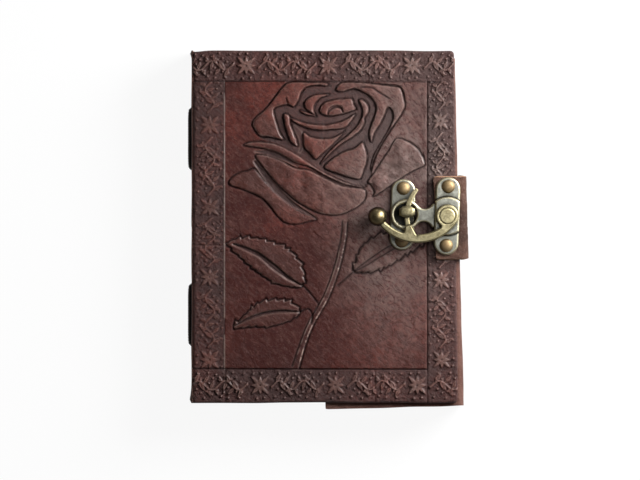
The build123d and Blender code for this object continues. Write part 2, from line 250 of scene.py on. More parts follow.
def newPiece(name, points, faces, materials, materialOf=None, smooth=True):  # points in millimetres
    mesh = bpy.data.meshes.new(name)
    mesh.from_pydata((np.asarray(points, float) * mm).tolist(), [], [list(map(int, face)) for face in faces])
    for material in materials:
        mesh.materials.append(material)
    if materialOf is not None:
        mesh.polygons.foreach_set("material_index", np.asarray(materialOf, np.int32))
    mesh.polygons.foreach_set("use_smooth", np.full(len(mesh.polygons), smooth))
    mesh.update()
    return placed(name, mesh)


def smoothLine(points, closed=False, steps=8):  # a curve through given points
    points = np.asarray(points, float)
    count = len(points)
    spans = count if closed else count - 1
    share = np.linspace(0, 1, steps, endpoint=False)[:, None]
    line = []
    for i in range(spans):
        if closed:
            before, start, end, after = (points[(i + k) % count] for k in (-1, 0, 1, 2))
        else:
            before, start = points[max(i - 1, 0)], points[i]
            end, after = points[i + 1], points[min(i + 2, count - 1)]
        bend = 2 * before - 5 * start + 4 * end - after
        twist = -before + 3 * start - 3 * end + after
        line.append(0.5 * (2 * start + (end - before) * share + bend * share**2 + twist * share**3))
    if not closed:
        line.append(points[-1:])
    return np.vstack(line)


def smoothStep(value):
    value = np.clip(value, 0, 1)
    return value * value * (3 - 2 * value)


def hump(away, wide):  # 1 in its middle, falling smoothly to 0 on both sides
    return np.exp(-((away / wide) ** 2))


def sideOf(line):  # the direction to the right of a line, at each of its points
    run = np.gradient(line, axis=0)
    return np.column_stack([run[:, 1], -run[:, 0]]) / np.hypot(*run.T)[:, None]


def turnedBy(u, v, angle):  # a place seen from directions turned by this angle
    return u * math.cos(angle) + v * math.sin(angle), v * math.cos(angle) - u * math.sin(angle)


def runOf(line):  # distance along a line at each of its points
    return np.concatenate([[0], np.cumsum(np.hypot(*np.diff(line, axis=0).T))])


def cornerPull(dx, dy):  # how far a square corner's points go in, to round it
    return np.where((dx > 0) & (dy > 0), 1 - np.maximum(dx, dy) / np.maximum(np.hypot(dx, dy), 1e-6), 0)


def gridFaces(index):  # the quads of a grid of numbered points
    return np.stack([index[:-1, :-1], index[1:, :-1], index[1:, 1:], index[:-1, 1:]], axis=-1)


def sheetFaces(rows, columns):  # both sides of a sheet and the walls between them
    index = np.arange(rows * columns).reshape(rows, columns)
    top = gridFaces(index).reshape(-1, 4)
    rim = np.concatenate([index[0, :], index[1:, -1], index[-1, -2::-1], index[-2::-1, 0]])
    walls = np.stack([rim[:-1], rim[1:], rim[1:] + index.size, rim[:-1] + index.size], axis=-1)
    return top, top[:, ::-1] + index.size, walls


def turnedFaces(rows, sides):  # the quads round a turned or drawn form, and its two ends
    index = np.arange(rows * sides).reshape(rows, sides)
    after = np.roll(index, -1, axis=1)
    quads = np.stack([index[:-1], after[:-1], after[1:], index[1:]], axis=-1).reshape(-1, 4)
    return quads.tolist() + [index[0, ::-1].tolist(), index[-1].tolist()]


def joinParts(parts):  # several meshes as one
    points, faces = [], []
    for partPoints, partFaces in parts:
        faces += [[corner + len(points) for corner in face] for face in partFaces]
        points += partPoints.tolist()
    return points, faces


def mark(mesh, name, values):  # a number at each point, for the material
    layer = mesh.attributes.new(name, "FLOAT", "POINT")
    layer.data.foreach_set("value", values.astype(np.float32))


def softNoise(x, y, cell, seed):  # even bumps of about this size, from -1 to 1
    lattice = np.random.default_rng(seed).uniform(-1, 1, (97, 97))
    u = np.mod(np.asarray(x, float) / cell, 96)
    v = np.mod(np.asarray(y, float) / cell, 96)
    i = u.astype(int)
    j = v.astype(int)
    a = smoothStep(u - i)
    b = smoothStep(v - j)
    low = lattice[i, j] * (1 - a) + lattice[i + 1, j] * a
    high = lattice[i, j + 1] * (1 - a) + lattice[i + 1, j + 1] * a
    return low * (1 - b) + high * b


def nearLine(x, y, line, closed):  # distance to the line, and how far along it the nearest point is
    ends = np.roll(line, -1, axis=0) if closed else line[1:]
    starts = line if closed else line[:-1]
    best = np.full(x.shape, 1e9)
    along = np.zeros(x.shape)
    walked = 0.0
    for (ax, ay), (bx, by) in zip(starts, ends):
        dx, dy = bx - ax, by - ay
        length = math.hypot(dx, dy) + 1e-9
        share = np.clip(((x - ax) * dx + (y - ay) * dy) / length**2, 0, 1)
        away = np.hypot(x - ax - share * dx, y - ay - share * dy)
        closer = away < best
        best = np.where(closer, away, best)
        along = np.where(closer, walked + share * length, along)
        walked += length
    return best, along / walked


def insideLine(x, y, line):
    inside = np.zeros(x.shape, bool)
    for (ax, ay), (bx, by) in zip(line, np.roll(line, -1, axis=0)):
        if ay != by:
            crosses = (ay > y) != (by > y)
            inside ^= crosses & (x < (bx - ax) * (y - ay) / (by - ay) + ax)
    return inside


class Tooling:  # the relief of the front cover, as a height in millimetres at each point
    def __init__(self, x, y):
        self.x = x
        self.y = y
        self.height, self.pressed, self.cut, self.rubbed, self.lumps = np.zeros((5, *x.shape))

    def around(self, line, margin, closed=False):  # the points near a line, and how near they are
        low = line.min(0) - margin
        high = line.max(0) + margin
        spot = (self.x > low[0]) & (self.x < high[0]) & (self.y > low[1]) & (self.y < high[1])
        x, y = self.x[spot], self.y[spot]
        return spot, x, y, *nearLine(x, y, line, closed)

    def sink(self, outline, depth, edge=0.5):  # lowers the ground inside an outline
        line = smoothLine(outline, closed=True)
        spot, x, y, away, _ = self.around(line, 1.5, True)
        share = smoothStep(0.5 + np.where(insideLine(x, y, line), away, -away) / edge)
        self.height[spot] = self.height[spot] * (1 - share) - depth * share
        self.pressed[spot] = np.maximum(self.pressed[spot], share)

    def raiseForm(
        self, outline, rise, cut, swell=2.4, teeth=0.0, rub=1.0, lumps=0.6, secondSide=0.0, wide=0.4
    ):  # a swelling form with a cut all round it
        line = smoothLine(outline, closed=True)
        if teeth:
            line = serrated(line, teeth, secondSide)
        spot, x, y, away, _ = self.around(line, 2.5, True)
        inside = insideLine(x, y, line)
        away = np.abs(away + 0.10 * softNoise(x, y, 0.9, 13))  # a knife's edge is never quite even
        crown = rise * (0.6 * smoothStep(away / 0.5) + 0.4 * smoothStep(away / swell))
        trace = hump(away, wide)
        self.height[spot] = np.where(inside, crown, self.height[spot]) - cut * trace
        self.pressed[spot] = np.where(inside, 0.0, self.pressed[spot])
        self.cut[spot] = np.where(inside, trace, np.maximum(self.cut[spot], trace))
        self.lumps[spot] = np.where(inside, lumps * smoothStep(away / 2.0), self.lumps[spot])
        # a band just inside the edge: wear, and a painted highlight in its lighter colour
        edge = rub * (0.65 + 0.5 * softNoise(x, y, 1.3, 14)) * hump(away - 0.52, 0.26)
        self.rubbed[spot] = np.where(inside, edge, self.rubbed[spot] * (1 - trace))

    def press(self, points, widths, depth, edge=0.45, dull=1.0):  # a channel of changing width
        spot, _, _, away, along = self.around(smoothLine(points), max(widths) + 1.5)
        half = np.interp(along, np.linspace(0, 1, len(widths)), widths) / 2
        share = smoothStep(0.5 + (half - away) / edge)
        self.height[spot] = self.height[spot] * (1 - share) - depth * share
        self.pressed[spot] = np.maximum(self.pressed[spot], share * dull)
        # a lighter shoulder beside the channel: wear and painted highlight
        shoulder = 0.45 * hump(away - half - 0.3, 0.3)
        self.rubbed[spot] = np.maximum(self.rubbed[spot] * (1 - share), shoulder)
        self.cut[spot] *= 1 - share

    def score(self, points, depth, width=0.4, dark=1.0):  # a cut line
        spot, _, _, away, _ = self.around(smoothLine(points), 2.0)
        trace = hump(away, width)
        self.height[spot] -= depth * trace
        self.cut[spot] = np.maximum(self.cut[spot], trace * dark)

    def gleam(self, points, strength, broken, fill=0.35):  # a thin ridge with a painted highlight along it: lighter colour and wax, broken unevenly
        line = smoothLine(points)
        spot, _, _, away, along = self.around(line, 2.0)
        walk = along * runOf(line)[-1]
        uneven = softNoise(walk, 5, broken, 9) + 0.8 * softNoise(walk, 9, 3 * broken, 10)
        ridge = strength * smoothStep(fill + uneven) * hump(away, 0.23)
        self.height[spot] += 0.13 * ridge
        self.rubbed[spot] = np.maximum(self.rubbed[spot], ridge)
        self.cut[spot] *= 1 - np.clip(ridge, 0, 1)


def sideLines(points, widths):  # both sides of a band of changing width
    line = smoothLine(points)
    half = np.interp(np.linspace(0, 1, len(line)), np.linspace(0, 1, len(widths)), widths) / 2
    aside = sideOf(line) * half[:, None]
    return (line + aside)[::4], (line - aside)[::4]


def serrated(line, depth, secondSide, toothLength=3.5):  # uneven teeth, often shallower on one side
    closedLine = np.vstack([line, line[:1]])
    run = runOf(closedLine)
    count = max(int(round(run[-1] / toothLength)), 3)
    draw = np.random.default_rng(count)
    lengths = draw.uniform(0.6, 1.5, count)
    ends = np.concatenate([[0], np.cumsum(lengths)]) / lengths.sum() * run[-1]
    at = np.interp(np.arange(count * 7) / 7, np.arange(count + 1), ends)
    x = np.interp(at, run, closedLine[:, 0])
    y = np.interp(at, run, closedLine[:, 1])
    dx = np.roll(x, -1) - np.roll(x, 1)
    dy = np.roll(y, -1) - np.roll(y, 1)
    size = np.hypot(dx, dy) + 1e-9
    turn = np.sign((x * np.roll(y, -1) - np.roll(x, -1) * y).sum())
    saw = np.mod(np.arange(count * 7), 7) / 6
    teeth = draw.uniform(0.25, 1.25, count) * np.where(np.arange(count) < count * 0.5, 1, secondSide)
    reach = depth * saw * np.repeat(teeth, 7)
    return np.column_stack([x + turn * dy / size * reach, y - turn * dx / size * reach])


petals = {  # outlines in millimetres, drawn on the front cover
    "outerLeft": [
        (-14.5, 62.4), (-6.5, 62.4), (1, 62.2), (1.5, 60.6), (-3, 61), (-7.5, 60), (-9.8, 57.5), (-11, 54),
        (-13, 51.6), (-15.5, 52.6), (-20, 51.6), (-21.5, 50), (-20.6, 46), (-19, 41), (-17.4, 37.4),
        (-23, 38.5), (-27.5, 39), (-30, 42), (-31, 44.6), (-29.5, 47.2), (-25.5, 50.7), (-21.5, 55.4),
        (-18, 60),
    ],
    "outerRight": [
        (5.2, 59.6), (7, 61.8), (9.5, 62.5), (15, 62.4), (21, 61.8), (28, 61), (32.5, 60.2), (34, 58.4),
        (34.8, 55), (35.2, 52), (33.6, 48.5), (30.8, 44.5), (28, 40.5), (25, 35.5), (22.3, 30.5),
        (20.3, 24.5), (21.2, 29.5), (23.4, 34), (26, 38.4), (28.6, 43), (30, 47), (29.4, 50.3),
        (27.7, 51.3), (26.5, 48.5), (24.5, 44.5), (22, 40.5), (20.6, 36.5), (19.5, 40), (20.4, 44),
        (22, 48), (22.6, 51.5), (21.2, 54.8), (18.5, 57.2), (14, 59.3), (11, 59), (8.3, 58.2), (6, 58.4),
    ],
    "curl": [
        (2.6, 57), (-2, 57.3), (-5.8, 56.2), (-8.4, 53.7), (-8, 51.3), (-5.8, 49.3), (-3.5, 48),
        (-4.2, 50.4), (-3.6, 53), (-1.2, 55.4),
    ],
    "eye": [
        (-1.9, 50.6), (0, 53.4), (3.7, 54.7), (8.3, 55.3), (12.2, 55.2), (13, 53), (14, 50.7), (10.5, 49.2),
        (6, 48), (2, 47.7), (-1, 48.7),
    ],
    "lip": [
        (-15, 47.3), (-11, 45.8), (-5.8, 44.4), (0.4, 44), (6, 45), (10, 46.6), (13.6, 48.6), (11.8, 45.3),
        (9, 42.6), (3.7, 41.8), (-2, 41.5), (-7.5, 42.6), (-12, 44.6),
    ],
    "tongue": [(-10.4, 50.3), (-7, 49.4), (-3, 47.6), (-6.4, 48), (-9.2, 49)],
    "heart": [
        (-8.7, 40.7), (-5.8, 39), (-1, 38), (3.7, 38.4), (7.5, 40.2), (9.4, 41.6), (7, 38.6), (2.6, 34.2),
        (-1, 31), (-3.6, 29), (-6, 31.6), (-8.4, 34), (-9, 37.3),
    ],
    "ribbon": [
        (15, 54.8), (17.3, 54.6), (19.3, 52.2), (19.3, 49.3), (17.7, 46.9), (17.8, 45), (16.2, 41.8),
        (12.2, 38.4), (7.7, 35.6), (3.7, 32.2), (0.4, 28.8), (-1.6, 27.1), (1, 31), (5.4, 35.6), (10, 39.3),
        (13.9, 43), (16.2, 47), (16.7, 50.3), (15.8, 53),
    ],
    "tear": [
        (16.7, 36.5), (18.3, 32.8), (18.7, 28.8), (17.3, 24), (15.6, 20.5), (11.6, 21), (6.6, 22.6),
        (0.2, 25.5), (3.7, 29.4), (8.3, 32.2), (13.3, 34),
    ],
    "leftStrip": [
        (-17.4, 48.6), (-14.9, 48), (-14.2, 44.6), (-13.1, 41.2), (-11.6, 37.3), (-11.2, 34.6),
        (-14.2, 36.4), (-16, 40.7), (-17.1, 44.6),
    ],
    "lower": [
        (-29.6, 30.5), (-25.6, 31), (-18.8, 28.8), (-12.6, 25.5), (-5.8, 24.3), (0.4, 21.2), (8.3, 17.6),
        (16.7, 16.5), (18.4, 14.2), (17.3, 11), (14, 8), (9.4, 5.8), (4.9, 4.8), (-0.8, 5.4), (-6.4, 7.7),
        (-12, 11), (-17, 15.3), (-22, 20.4), (-26, 25.2),
    ],
    "sepal": [
        (-34.6, 35), (-31.8, 36.5), (-25.6, 36.6), (-20, 35.5), (-14.3, 32.8), (-8.7, 29.4), (-3, 25.5),
        (2.6, 22.4), (8.3, 19.7), (14, 18), (18.6, 17.4), (16, 17), (8.3, 18.4), (0.4, 22), (-6, 25.6),
        (-12, 27.4), (-17, 30.2), (-22.8, 32.7), (-28.4, 34),
    ],
    "lowerLeft": [
        (-29.8, 25), (-33, 24.2), (-37, 23), (-40.5, 20.5), (-40.5, 17.8), (-35.2, 16), (-27.3, 12.5),
        (-23.6, 9), (-20.2, 4.6), (-16.6, 1.6), (-12, 0.9), (-6.4, 2.1), (-3, 3.2), (-7.5, 5.4), (-11, 7),
        (-16, 10.8), (-21, 15), (-26, 20.4),
    ],
    "outerLow": [
        (31.4, 38), (36.5, 36.7), (40.4, 34), (42.8, 30.5), (43.6, 28), (43.3, 26.2), (38.7, 24),
        (33.6, 21), (28, 17), (24, 14.3), (21.2, 12.9), (21.8, 15), (20.4, 17.8), (19, 19.5), (21.8, 23.5),
        (25.2, 28.8), (28.3, 33.4),
    ],
}

rose = {  # and the rest of the flower
    "floorDepth": 0.58,
    "petalRise": 0.55,
    "cutDepth": 0.50,
    "foldDepth": 0.4,
    "bloom": [
        (-15, 62.6), (0, 62.6), (14, 62.6), (28, 61.4), (33.5, 60), (35, 52), (31, 44.5), (25, 35),
        (21.5, 27), (19.5, 18.5), (13, 18.8), (2.5, 23), (-3, 26), (-9, 30), (-15, 33.5), (-20, 36),
        (-27, 38.3), (-31, 44.5), (-25.5, 50.5), (-20, 58),
    ],
    "worn": {  # petals that are lumpier than the rest, or with less edge wear and painted highlight
        "outerLow": {"lumps": 2.0},
        "lower": {"lumps": 1.3},
        "heart": {"lumps": 1.2},
        "tear": {"lumps": 1.0},
        "lowerLeft": {"rub": 0.25, "lumps": 0.7},
    },
    "channels": [
        ([(1.8, 48.6), (2.6, 50.6), (5.2, 51.8), (7.4, 51.2), (8.3, 49.4)], [0.5, 1.3, 1.3, 1.0, 0.4]),
        ([(-29.4, 32.4), (-24, 32), (-18.2, 30), (-13.7, 27.6), (-11.2, 26.2)], [0.3, 1.8, 2.2, 1.3, 0.3]),
        (
            [(-29.6, 28), (-25, 21.6), (-19.4, 15.3), (-13.5, 10), (-7, 6), (-3.4, 4)],
            [1.0, 2.0, 2.4, 2.0, 1.2, 0.2],
        ),
        ([(-12.4, 43.2), (-9.8, 39.3), (-9.4, 35), (-10.2, 32.4)], [0.6, 1.6, 1.4, 0.5]),
    ],
    "folds": [
        [(16, 60.2), (20.7, 60), (24, 57.9), (28.4, 55.4)],
        [(-16.2, 55.4), (-15.4, 52.6)],
        [(13, 53), (14, 50.7)],
    ],
    "stem": {
        "line": [
            (9.3, 2), (8.6, -5), (7, -13), (4.5, -21.7), (0.8, -31), (-4.4, -40), (-7.5, -46.6), (-10, -54),
            (-12, -60.6),
        ],
        "widths": [1.3, 1.4, 1.5, 1.6, 1.6, 1.7, 2.3],
    },
    "stalks": [
        [(-9.3, -25), (-6, -28.6), (-2.2, -33.4)],
        [(-10.3, -36.9), (-6.9, -35.5), (-5, -38), (-5.4, -41.6)],
        [(13.2, -19.2), (10, -22), (6, -25.4)],
    ],
    "leafLook": {"rise": 0.40, "cut": 0.62, "swell": 3.2, "teeth": 1.3},
    "ribLook": {"depth": 0.34, "dull": 0.8, "dark": 0.2, "gleam": 0.8},
    "leaves": [
        {
            "outline": [
                (-41.2, -6.8), (-36, -5.2), (-31.7, -4.9), (-26, -5.8), (-19.6, -8), (-14, -11),
                (-10.5, -15.7), (-8.6, -20.6), (-9.2, -25.4), (-11, -26.2), (-17, -25.6), (-22.6, -23.5),
                (-28, -20), (-34.7, -14.5), (-39.6, -9.6),
            ],
            "rib": [(-39, -7.6), (-34.6, -9.2), (-28, -12.2), (-22, -17), (-15.3, -22.2), (-9.6, -25.4)],
            "ribWidths": [0.3, 1.3, 1.5, 1.9, 1.3, 0.4],
            "edge": {"secondSide": 0.75, "rub": 0.7, "wide": 0.42},
        },
        {
            "outline": [
                (-38.9, -43.3), (-35.3, -39.4), (-29.2, -34), (-24.4, -32.2), (-18.3, -31.8),
                (-13.5, -33.3), (-10.3, -36.8), (-14.7, -40.6), (-19.6, -42.4), (-24.4, -43.3),
                (-30.5, -43.2), (-36.2, -43.8),
            ],
            "rib": [(-38, -42.8), (-33, -40.1), (-25.6, -37.6), (-18.3, -36.6), (-10.8, -36.9)],
            "ribWidths": [0.3, 0.9, 1.1, 1.0, 0.3],
            "edge": {"secondSide": 0.5, "rub": 0.7, "wide": 0.42},
        },
        {
            "outline": [
                (13.2, -19.3), (13.3, -17), (14.3, -14), (15.9, -9.5), (19, -6.7), (23.2, -4.2), (28, -3),
                (35, -3), (42.8, -6.4), (39, -9.6), (33.7, -13), (29.5, -16), (24.2, -18.4), (18.5, -19.8),
            ],
            "rib": [(13.6, -19), (19, -15.6), (26, -11), (33, -7.2), (38, -6)],
            "ribWidths": [0.5, 1.6, 2.1, 2.0, 1.2],
            "edge": {"secondSide": 1.0, "rub": 1.4, "wide": 0.58},
            "ribLook": {"depth": -0.12, "dull": 0.3, "dark": 1.0, "gleam": 0.0},
        },
    ],
}

border = {  # one turn of the roll stamp, and where each flower of it lies on the cover
    "period": 35.3,
    "starLong": 5.9,
    "starShort": 4.3,
    "starWidth": 2.1,
    "dots": [(-2.9, 5.0), (0.5, 5.3), (-1.4, -5.6), (1.9, -5.2), (-5.6, 0.4), (5.4, -0.6)],
    "dotRadius": 0.72,
    "vineStart": 6.2,
    "vineSwing": 1.9,
    "vineWidth": 0.62,
    "leaves": [  # place on the vine, turn from its run, length and width
        (7.4, 62, 5.2, 2.1), (9.2, -58, 5.4, 2.3), (11.0, 48, 4.6, 1.9), (12.6, -66, 5.0, 2.0),
        (14.2, 70, 4.6, 2.0), (15.9, -42, 5.2, 2.2),
    ],
    "berryRadius": 0.62,
    "berries": [
        (8.8, 5.2), (11.6, -5.4), (13.4, 5.3), (16.6, 4.6), (10.2, -3.2), (6.9, -4.9), (7.7, 3.1),
        (10.1, 2.6), (12.3, -2.6), (14.9, -3.9), (15.3, 3.0), (17.2, -2.1), (8.3, -1.6), (13.6, 0.9),
    ],
    "rise": 0.86,
    "floor": 0.42,
    "bands": {  # middle of the band across, scale, and the flowers along it
        "head": {"across": 69.6, "scale": 1.0, "flowers": (-33.5, 1.9, 38.2)},
        "tail": {"across": -68.6, "scale": 1.02, "flowers": (-27.4, 5.0, 40.4)},
        "fore": {"across": 50.6, "scale": 0.9, "flowers": (-57.5, -23.0, 11.3, 45.6)},
        "spine": {"across": -49.2, "scale": 1.02, "flowers": (-57.5, -21.7, 8.1, 43.9), "worn": 0.6},
    },
    "seams": {"head": (19.2,), "tail": (-42.5, 22.2), "fore": (-33.0,), "spine": (-8.0,)},
}


def leafForm(u, v, length, width, groove=0.42):  # a pointed leaf that lies along u, from 0 to 1
    share = np.clip(u / length, 0, 1)
    half = width / 2 * np.sin(np.pi * share**0.8)
    vein = 1 - groove * hump(v, 0.26) * smoothStep((half - 0.5) / 0.4)
    return smoothStep((half - np.abs(v)) / 0.5) * vein * (u > 0) * (u < length)


def rollMotif(p, t):  # relief of one turn of the stamp, from 0 to 1; p runs along it and t across
    form = np.zeros(p.shape)
    for turn in range(8):
        u, v = turnedBy(p, t, turn * math.pi / 4)
        length = border["starLong"] if turn % 2 else border["starShort"]
        form = np.maximum(form, leafForm(u, v, length, border["starWidth"], 0.1))
    for px, ty in border["dots"]:
        form = np.maximum(form, smoothStep((border["dotRadius"] - np.hypot(p - px, t - ty)) / 0.5))
    side = np.where(p < 0, -1.0, 1.0)
    q, w = np.abs(p), t * side  # the vine turns over on the flower's other side
    run = border["period"] / 2 - border["vineStart"]
    wave = 2 * math.pi / run
    swing = border["vineSwing"] * np.sin((q - border["vineStart"]) * wave)
    slope = border["vineSwing"] * wave * np.cos((q - border["vineStart"]) * wave)
    away = np.abs(w - swing) / np.sqrt(1 + slope**2)
    form = np.maximum(form, smoothStep((border["vineWidth"] - away) / 0.45) * (q > border["vineStart"] - 1))
    for place, turn, length, width in border["leaves"]:
        root = border["vineSwing"] * math.sin((place - border["vineStart"]) * wave)
        u, v = turnedBy(q - place, w - root, math.radians(turn))
        form = np.maximum(form, leafForm(u, v, length, width))
    for px, ty in border["berries"]:
        form = np.maximum(form, smoothStep((border["berryRadius"] - np.hypot(q - px, w - ty)) / 0.4))
    return form


coverLow, coverHigh = boxOf("front_cover")
cover = {
    "step": 0.31,
    "spineBorder": 14.4,
    "foreBorder": 12.4,
    "headBorder": 13.4,
    "tailBorder": 14.6,
    "slant": 1.6,
    "corner": 1.8,
    "roll": 2.2,  # radius that the leather turns down to the spine on
    "joinAngle": 45,  # where the spine's leather takes over
    "lineDepth": 0.34,
    "lineWidth": 0.30,
    "rim": 0.9,
    "ringShadowMiddle": (35.5, 5.2),  # middle of a painted shadow inside the clasp's ring
    "ringShadowRadius": 6.6,
    "sunk": 0.15,  # the rivets' backs stand this far out of the flesh side
}
cover["left"] = coverLow[0]
cover["right"] = -coverLow[0]
cover["half"] = coverHigh[1]
cover["top"] = coverHigh[2]
cover["bottom"] = coverLow[2]
panel = {
    "left": cover["left"] + cover["spineBorder"],
    "right": cover["right"] - cover["foreBorder"],
    "low": -cover["half"] + cover["tailBorder"],
    "high": cover["half"] - cover["headBorder"],
}


def toolBorder(tool):
    between = (tool.y < panel["high"]) & (tool.y > panel["low"])
    bands = {  # where each band lies, and the directions along and across it
        "head": (tool.y >= panel["high"], tool.x, tool.y),
        "tail": (tool.y <= panel["low"], tool.x, tool.y),
        "fore": ((tool.x >= panel["right"]) & between, tool.y, tool.x),
        "spine": ((tool.x <= panel["left"]) & between, tool.y, tool.x),
    }
    for name, band in border["bands"].items():
        zone, along, across = bands[name]
        s, a = along[zone], across[zone]
        flowers = np.array(band["flowers"])
        turns = np.arange(len(flowers)) * border["period"]
        phase = np.interp(s, flowers, turns)
        phase = np.where(s < flowers[0], (s - flowers[0]) / band["scale"], phase)
        phase = np.where(s > flowers[-1], turns[-1] + (s - flowers[-1]) / band["scale"], phase)
        p = np.mod(phase + border["period"] / 2, border["period"]) - border["period"] / 2
        form = rollMotif(p, (a - band["across"]) / band["scale"])
        form *= 0.88 + 0.12 * softNoise(s, a, 1.5, 7)
        worn = (0.78 + 0.22 * softNoise(s, a, 9, 5)) * band.get("worn", 1.0)
        stipple = 0.12 * softNoise(s, a, 0.9, 6) * (1 - form)
        tool.height[zone] = (border["rise"] * form - border["floor"] + stipple) * worn
        tool.pressed[zone] = 0.82 * (1 - form)
        tool.cut[zone] = 0.85 * worn * np.clip(1 - np.abs(form - 0.2) / 0.2, 0, 1)
        # lighter motif tops: wear and painted highlight
        tool.rubbed[zone] = 0.64 * smoothStep((form - 0.4) / 0.4) * worn
        for seam in border["seams"][name]:
            tool.height[zone] -= 0.26 * hump(s - seam, 0.38)


def toolLines(tool):  # the frame's lines run past its corners, as they were ruled by hand
    side, low, high = cover["half"], panel["low"], panel["high"]
    depth, width = cover["lineDepth"], cover["lineWidth"]
    # painted highlight along the panel's left line
    tool.gleam([(panel["left"], high), (panel["left"], low)], 2.0, 4.0, 0.95)
    tool.score([(panel["right"], high), (panel["right"], -side)], depth, width, dark=0.3)
    tool.score([(cover["left"], high), (panel["right"] + 6, high - 0.4)], depth, width, dark=0.8)
    tool.score([(cover["left"], low + 0.3), (panel["right"], low)], depth, width, dark=0.8)


def toolRose(tool):
    tool.sink(rose["bloom"], rose["floorDepth"])
    for name, outline in petals.items():
        tool.raiseForm(outline, rose["petalRise"], rose["cutDepth"], **rose["worn"].get(name, {}))
    for points, widths in rose["channels"]:
        tool.press(points, widths, rose["floorDepth"])
    for points in rose["folds"]:
        tool.score(points, rose["foldDepth"])
    for leaf in rose["leaves"]:
        look = leaf.get("ribLook", rose["ribLook"])
        tool.raiseForm(leaf["outline"], **rose["leafLook"], **leaf["edge"])
        tool.press(leaf["rib"], leaf["ribWidths"], look["depth"], dull=look["dull"])
        lower, upper = sideLines(leaf["rib"], leaf["ribWidths"])
        tool.score(upper, 0.3, 0.4)
        tool.score(lower, 0.3, 0.4, dark=look["dark"])
        # painted highlight along the rib's lower side
        tool.gleam(lower, look["gleam"], 1.4)
    stem = rose["stem"]
    tool.press(stem["line"], [width - 0.4 for width in stem["widths"]], 0.0, dull=0.2)
    for side in sideLines(stem["line"], [width + 1.0 for width in stem["widths"]]):
        tool.score(side, 0.44, 0.44)
    left, right = sideLines(stem["line"], stem["widths"])
    # painted highlights along the stem's edges, the right one brighter
    tool.gleam(left, 1.5, 2.4, 0.6)
    tool.gleam(right, 2.6, 0.6)
    for points in rose["stalks"]:
        tool.score(points, 0.48, 0.44)
        # painted highlight on each stalk's side towards the upper right
        tool.gleam(np.array(points) + (0.62, 0.28), 1.8, 3.0, 0.6)


def coverGrid():
    step = cover["step"]
    start = cover["left"] + cover["roll"] * (1 - math.sin(math.radians(cover["joinAngle"])))
    stopsX = (start, panel["left"], panel["right"], cover["right"])
    stopsY = (-cover["half"], panel["low"], panel["high"], cover["half"])

    def ruled(stops):
        spans = [np.linspace(a, b, round((b - a) / step), endpoint=False) for a, b in zip(stops, stops[1:])]
        return np.concatenate(spans + [[stops[-1]]]), [len(span) for span in spans]

    xs, countX = ruled(stopsX)
    ys, countY = ruled(stopsY)
    x, y = np.meshgrid(xs, ys, indexing="ij")
    return x, y, countX, countY


def handCut(x, y):  # the ruled grid, drawn out to the slanted and slightly uneven edges
    half, right = cover["half"], cover["right"]
    edge = right - cover["slant"] / 2 * y / half + 0.22 * softNoise(y, 3, 13, 11)
    share = np.clip((x - panel["right"]) / (right - panel["right"]), 0, 1)
    newX = x + share * (edge - right)
    rise = np.clip(np.abs(y) / half - 0.8, 0, 1) / 0.2
    uneven = 0.24 * softNoise(x, np.sign(y) * 7 + 20, 15, 12)
    droop = 0.35 * smoothStep((-x - 49) / 7) * (y > 0)
    newY = y + rise * (uneven - 0.15 * np.sign(y) - droop)
    corner = cover["corner"]
    dx = np.clip(x - (right - corner), 0, None) / corner
    dy = np.clip(np.abs(y) - (half - corner), 0, None) / corner
    pull = cornerPull(dx, dy)
    return newX - pull * dx * corner, newY - pull * dy * corner * np.sign(y)


def coverRelief(x, y):
    tool = Tooling(x, y)
    toolBorder(tool)
    toolRose(tool)
    toolLines(tool)
    for node in ("staple_plate", "strap_end"):  # pressed flat under the clasp
        low, high = boxOf(node)
        out = np.maximum(np.maximum(low[0] - x, x - high[0]), np.maximum(low[1] - y, y - high[1]))
        flat = smoothStep(1 - out / 2.5)
        tool.height = np.where(tool.height > 0, tool.height * (1 - flat), tool.height)
    # painted shadow inside the clasp's ring, carried by the cut marks
    ring = np.hypot(x - cover["ringShadowMiddle"][0], y - cover["ringShadowMiddle"][1])
    tool.cut = np.maximum(tool.cut, 0.95 * smoothStep((cover["ringShadowRadius"] - ring) / 1.2))
    swell = 0.07 * softNoise(x, y, 17, 1) + 0.06 * softNoise(x, y, 6.5, 2) + 0.025 * softNoise(x, y, 2.3, 8)
    dents = 0.30 * softNoise(x, y, 4.8, 3) + 0.14 * softNoise(x, y, 2.3, 4)
    return tool.height + swell - 0.03 + dents * tool.lumps, tool


def closeDown(piece, bottom):  # walls from the open edge down to the flesh side
    form = bmesh.new()
    form.from_mesh(piece.data)
    rim = [edge for edge in form.edges if edge.is_boundary]
    below = {}
    for vert in [vert for edge in rim for vert in edge.verts]:
        if vert not in below:
            below[vert] = form.verts.new((vert.co.x, vert.co.y, bottom * mm), vert)
    for start, end in [tuple(edge.verts) for edge in rim]:
        face = form.faces.new((start, end, below[end], below[start]))
        joined = face.calc_center_median().x < (cover["left"] + 0.8) * mm
        face.material_index = 0 if joined else 1
        face.smooth = False
    rim = [edge for edge in form.edges if edge.is_boundary]
    for face in bmesh.ops.triangle_fill(form, edges=rim, use_beauty=False)["geom"]:
        if isinstance(face, bmesh.types.BMFace):
            face.material_index = 2
            face.smooth = False
    bmesh.ops.recalc_face_normals(form, faces=form.faces)
    form.to_mesh(piece.data)
    form.free()


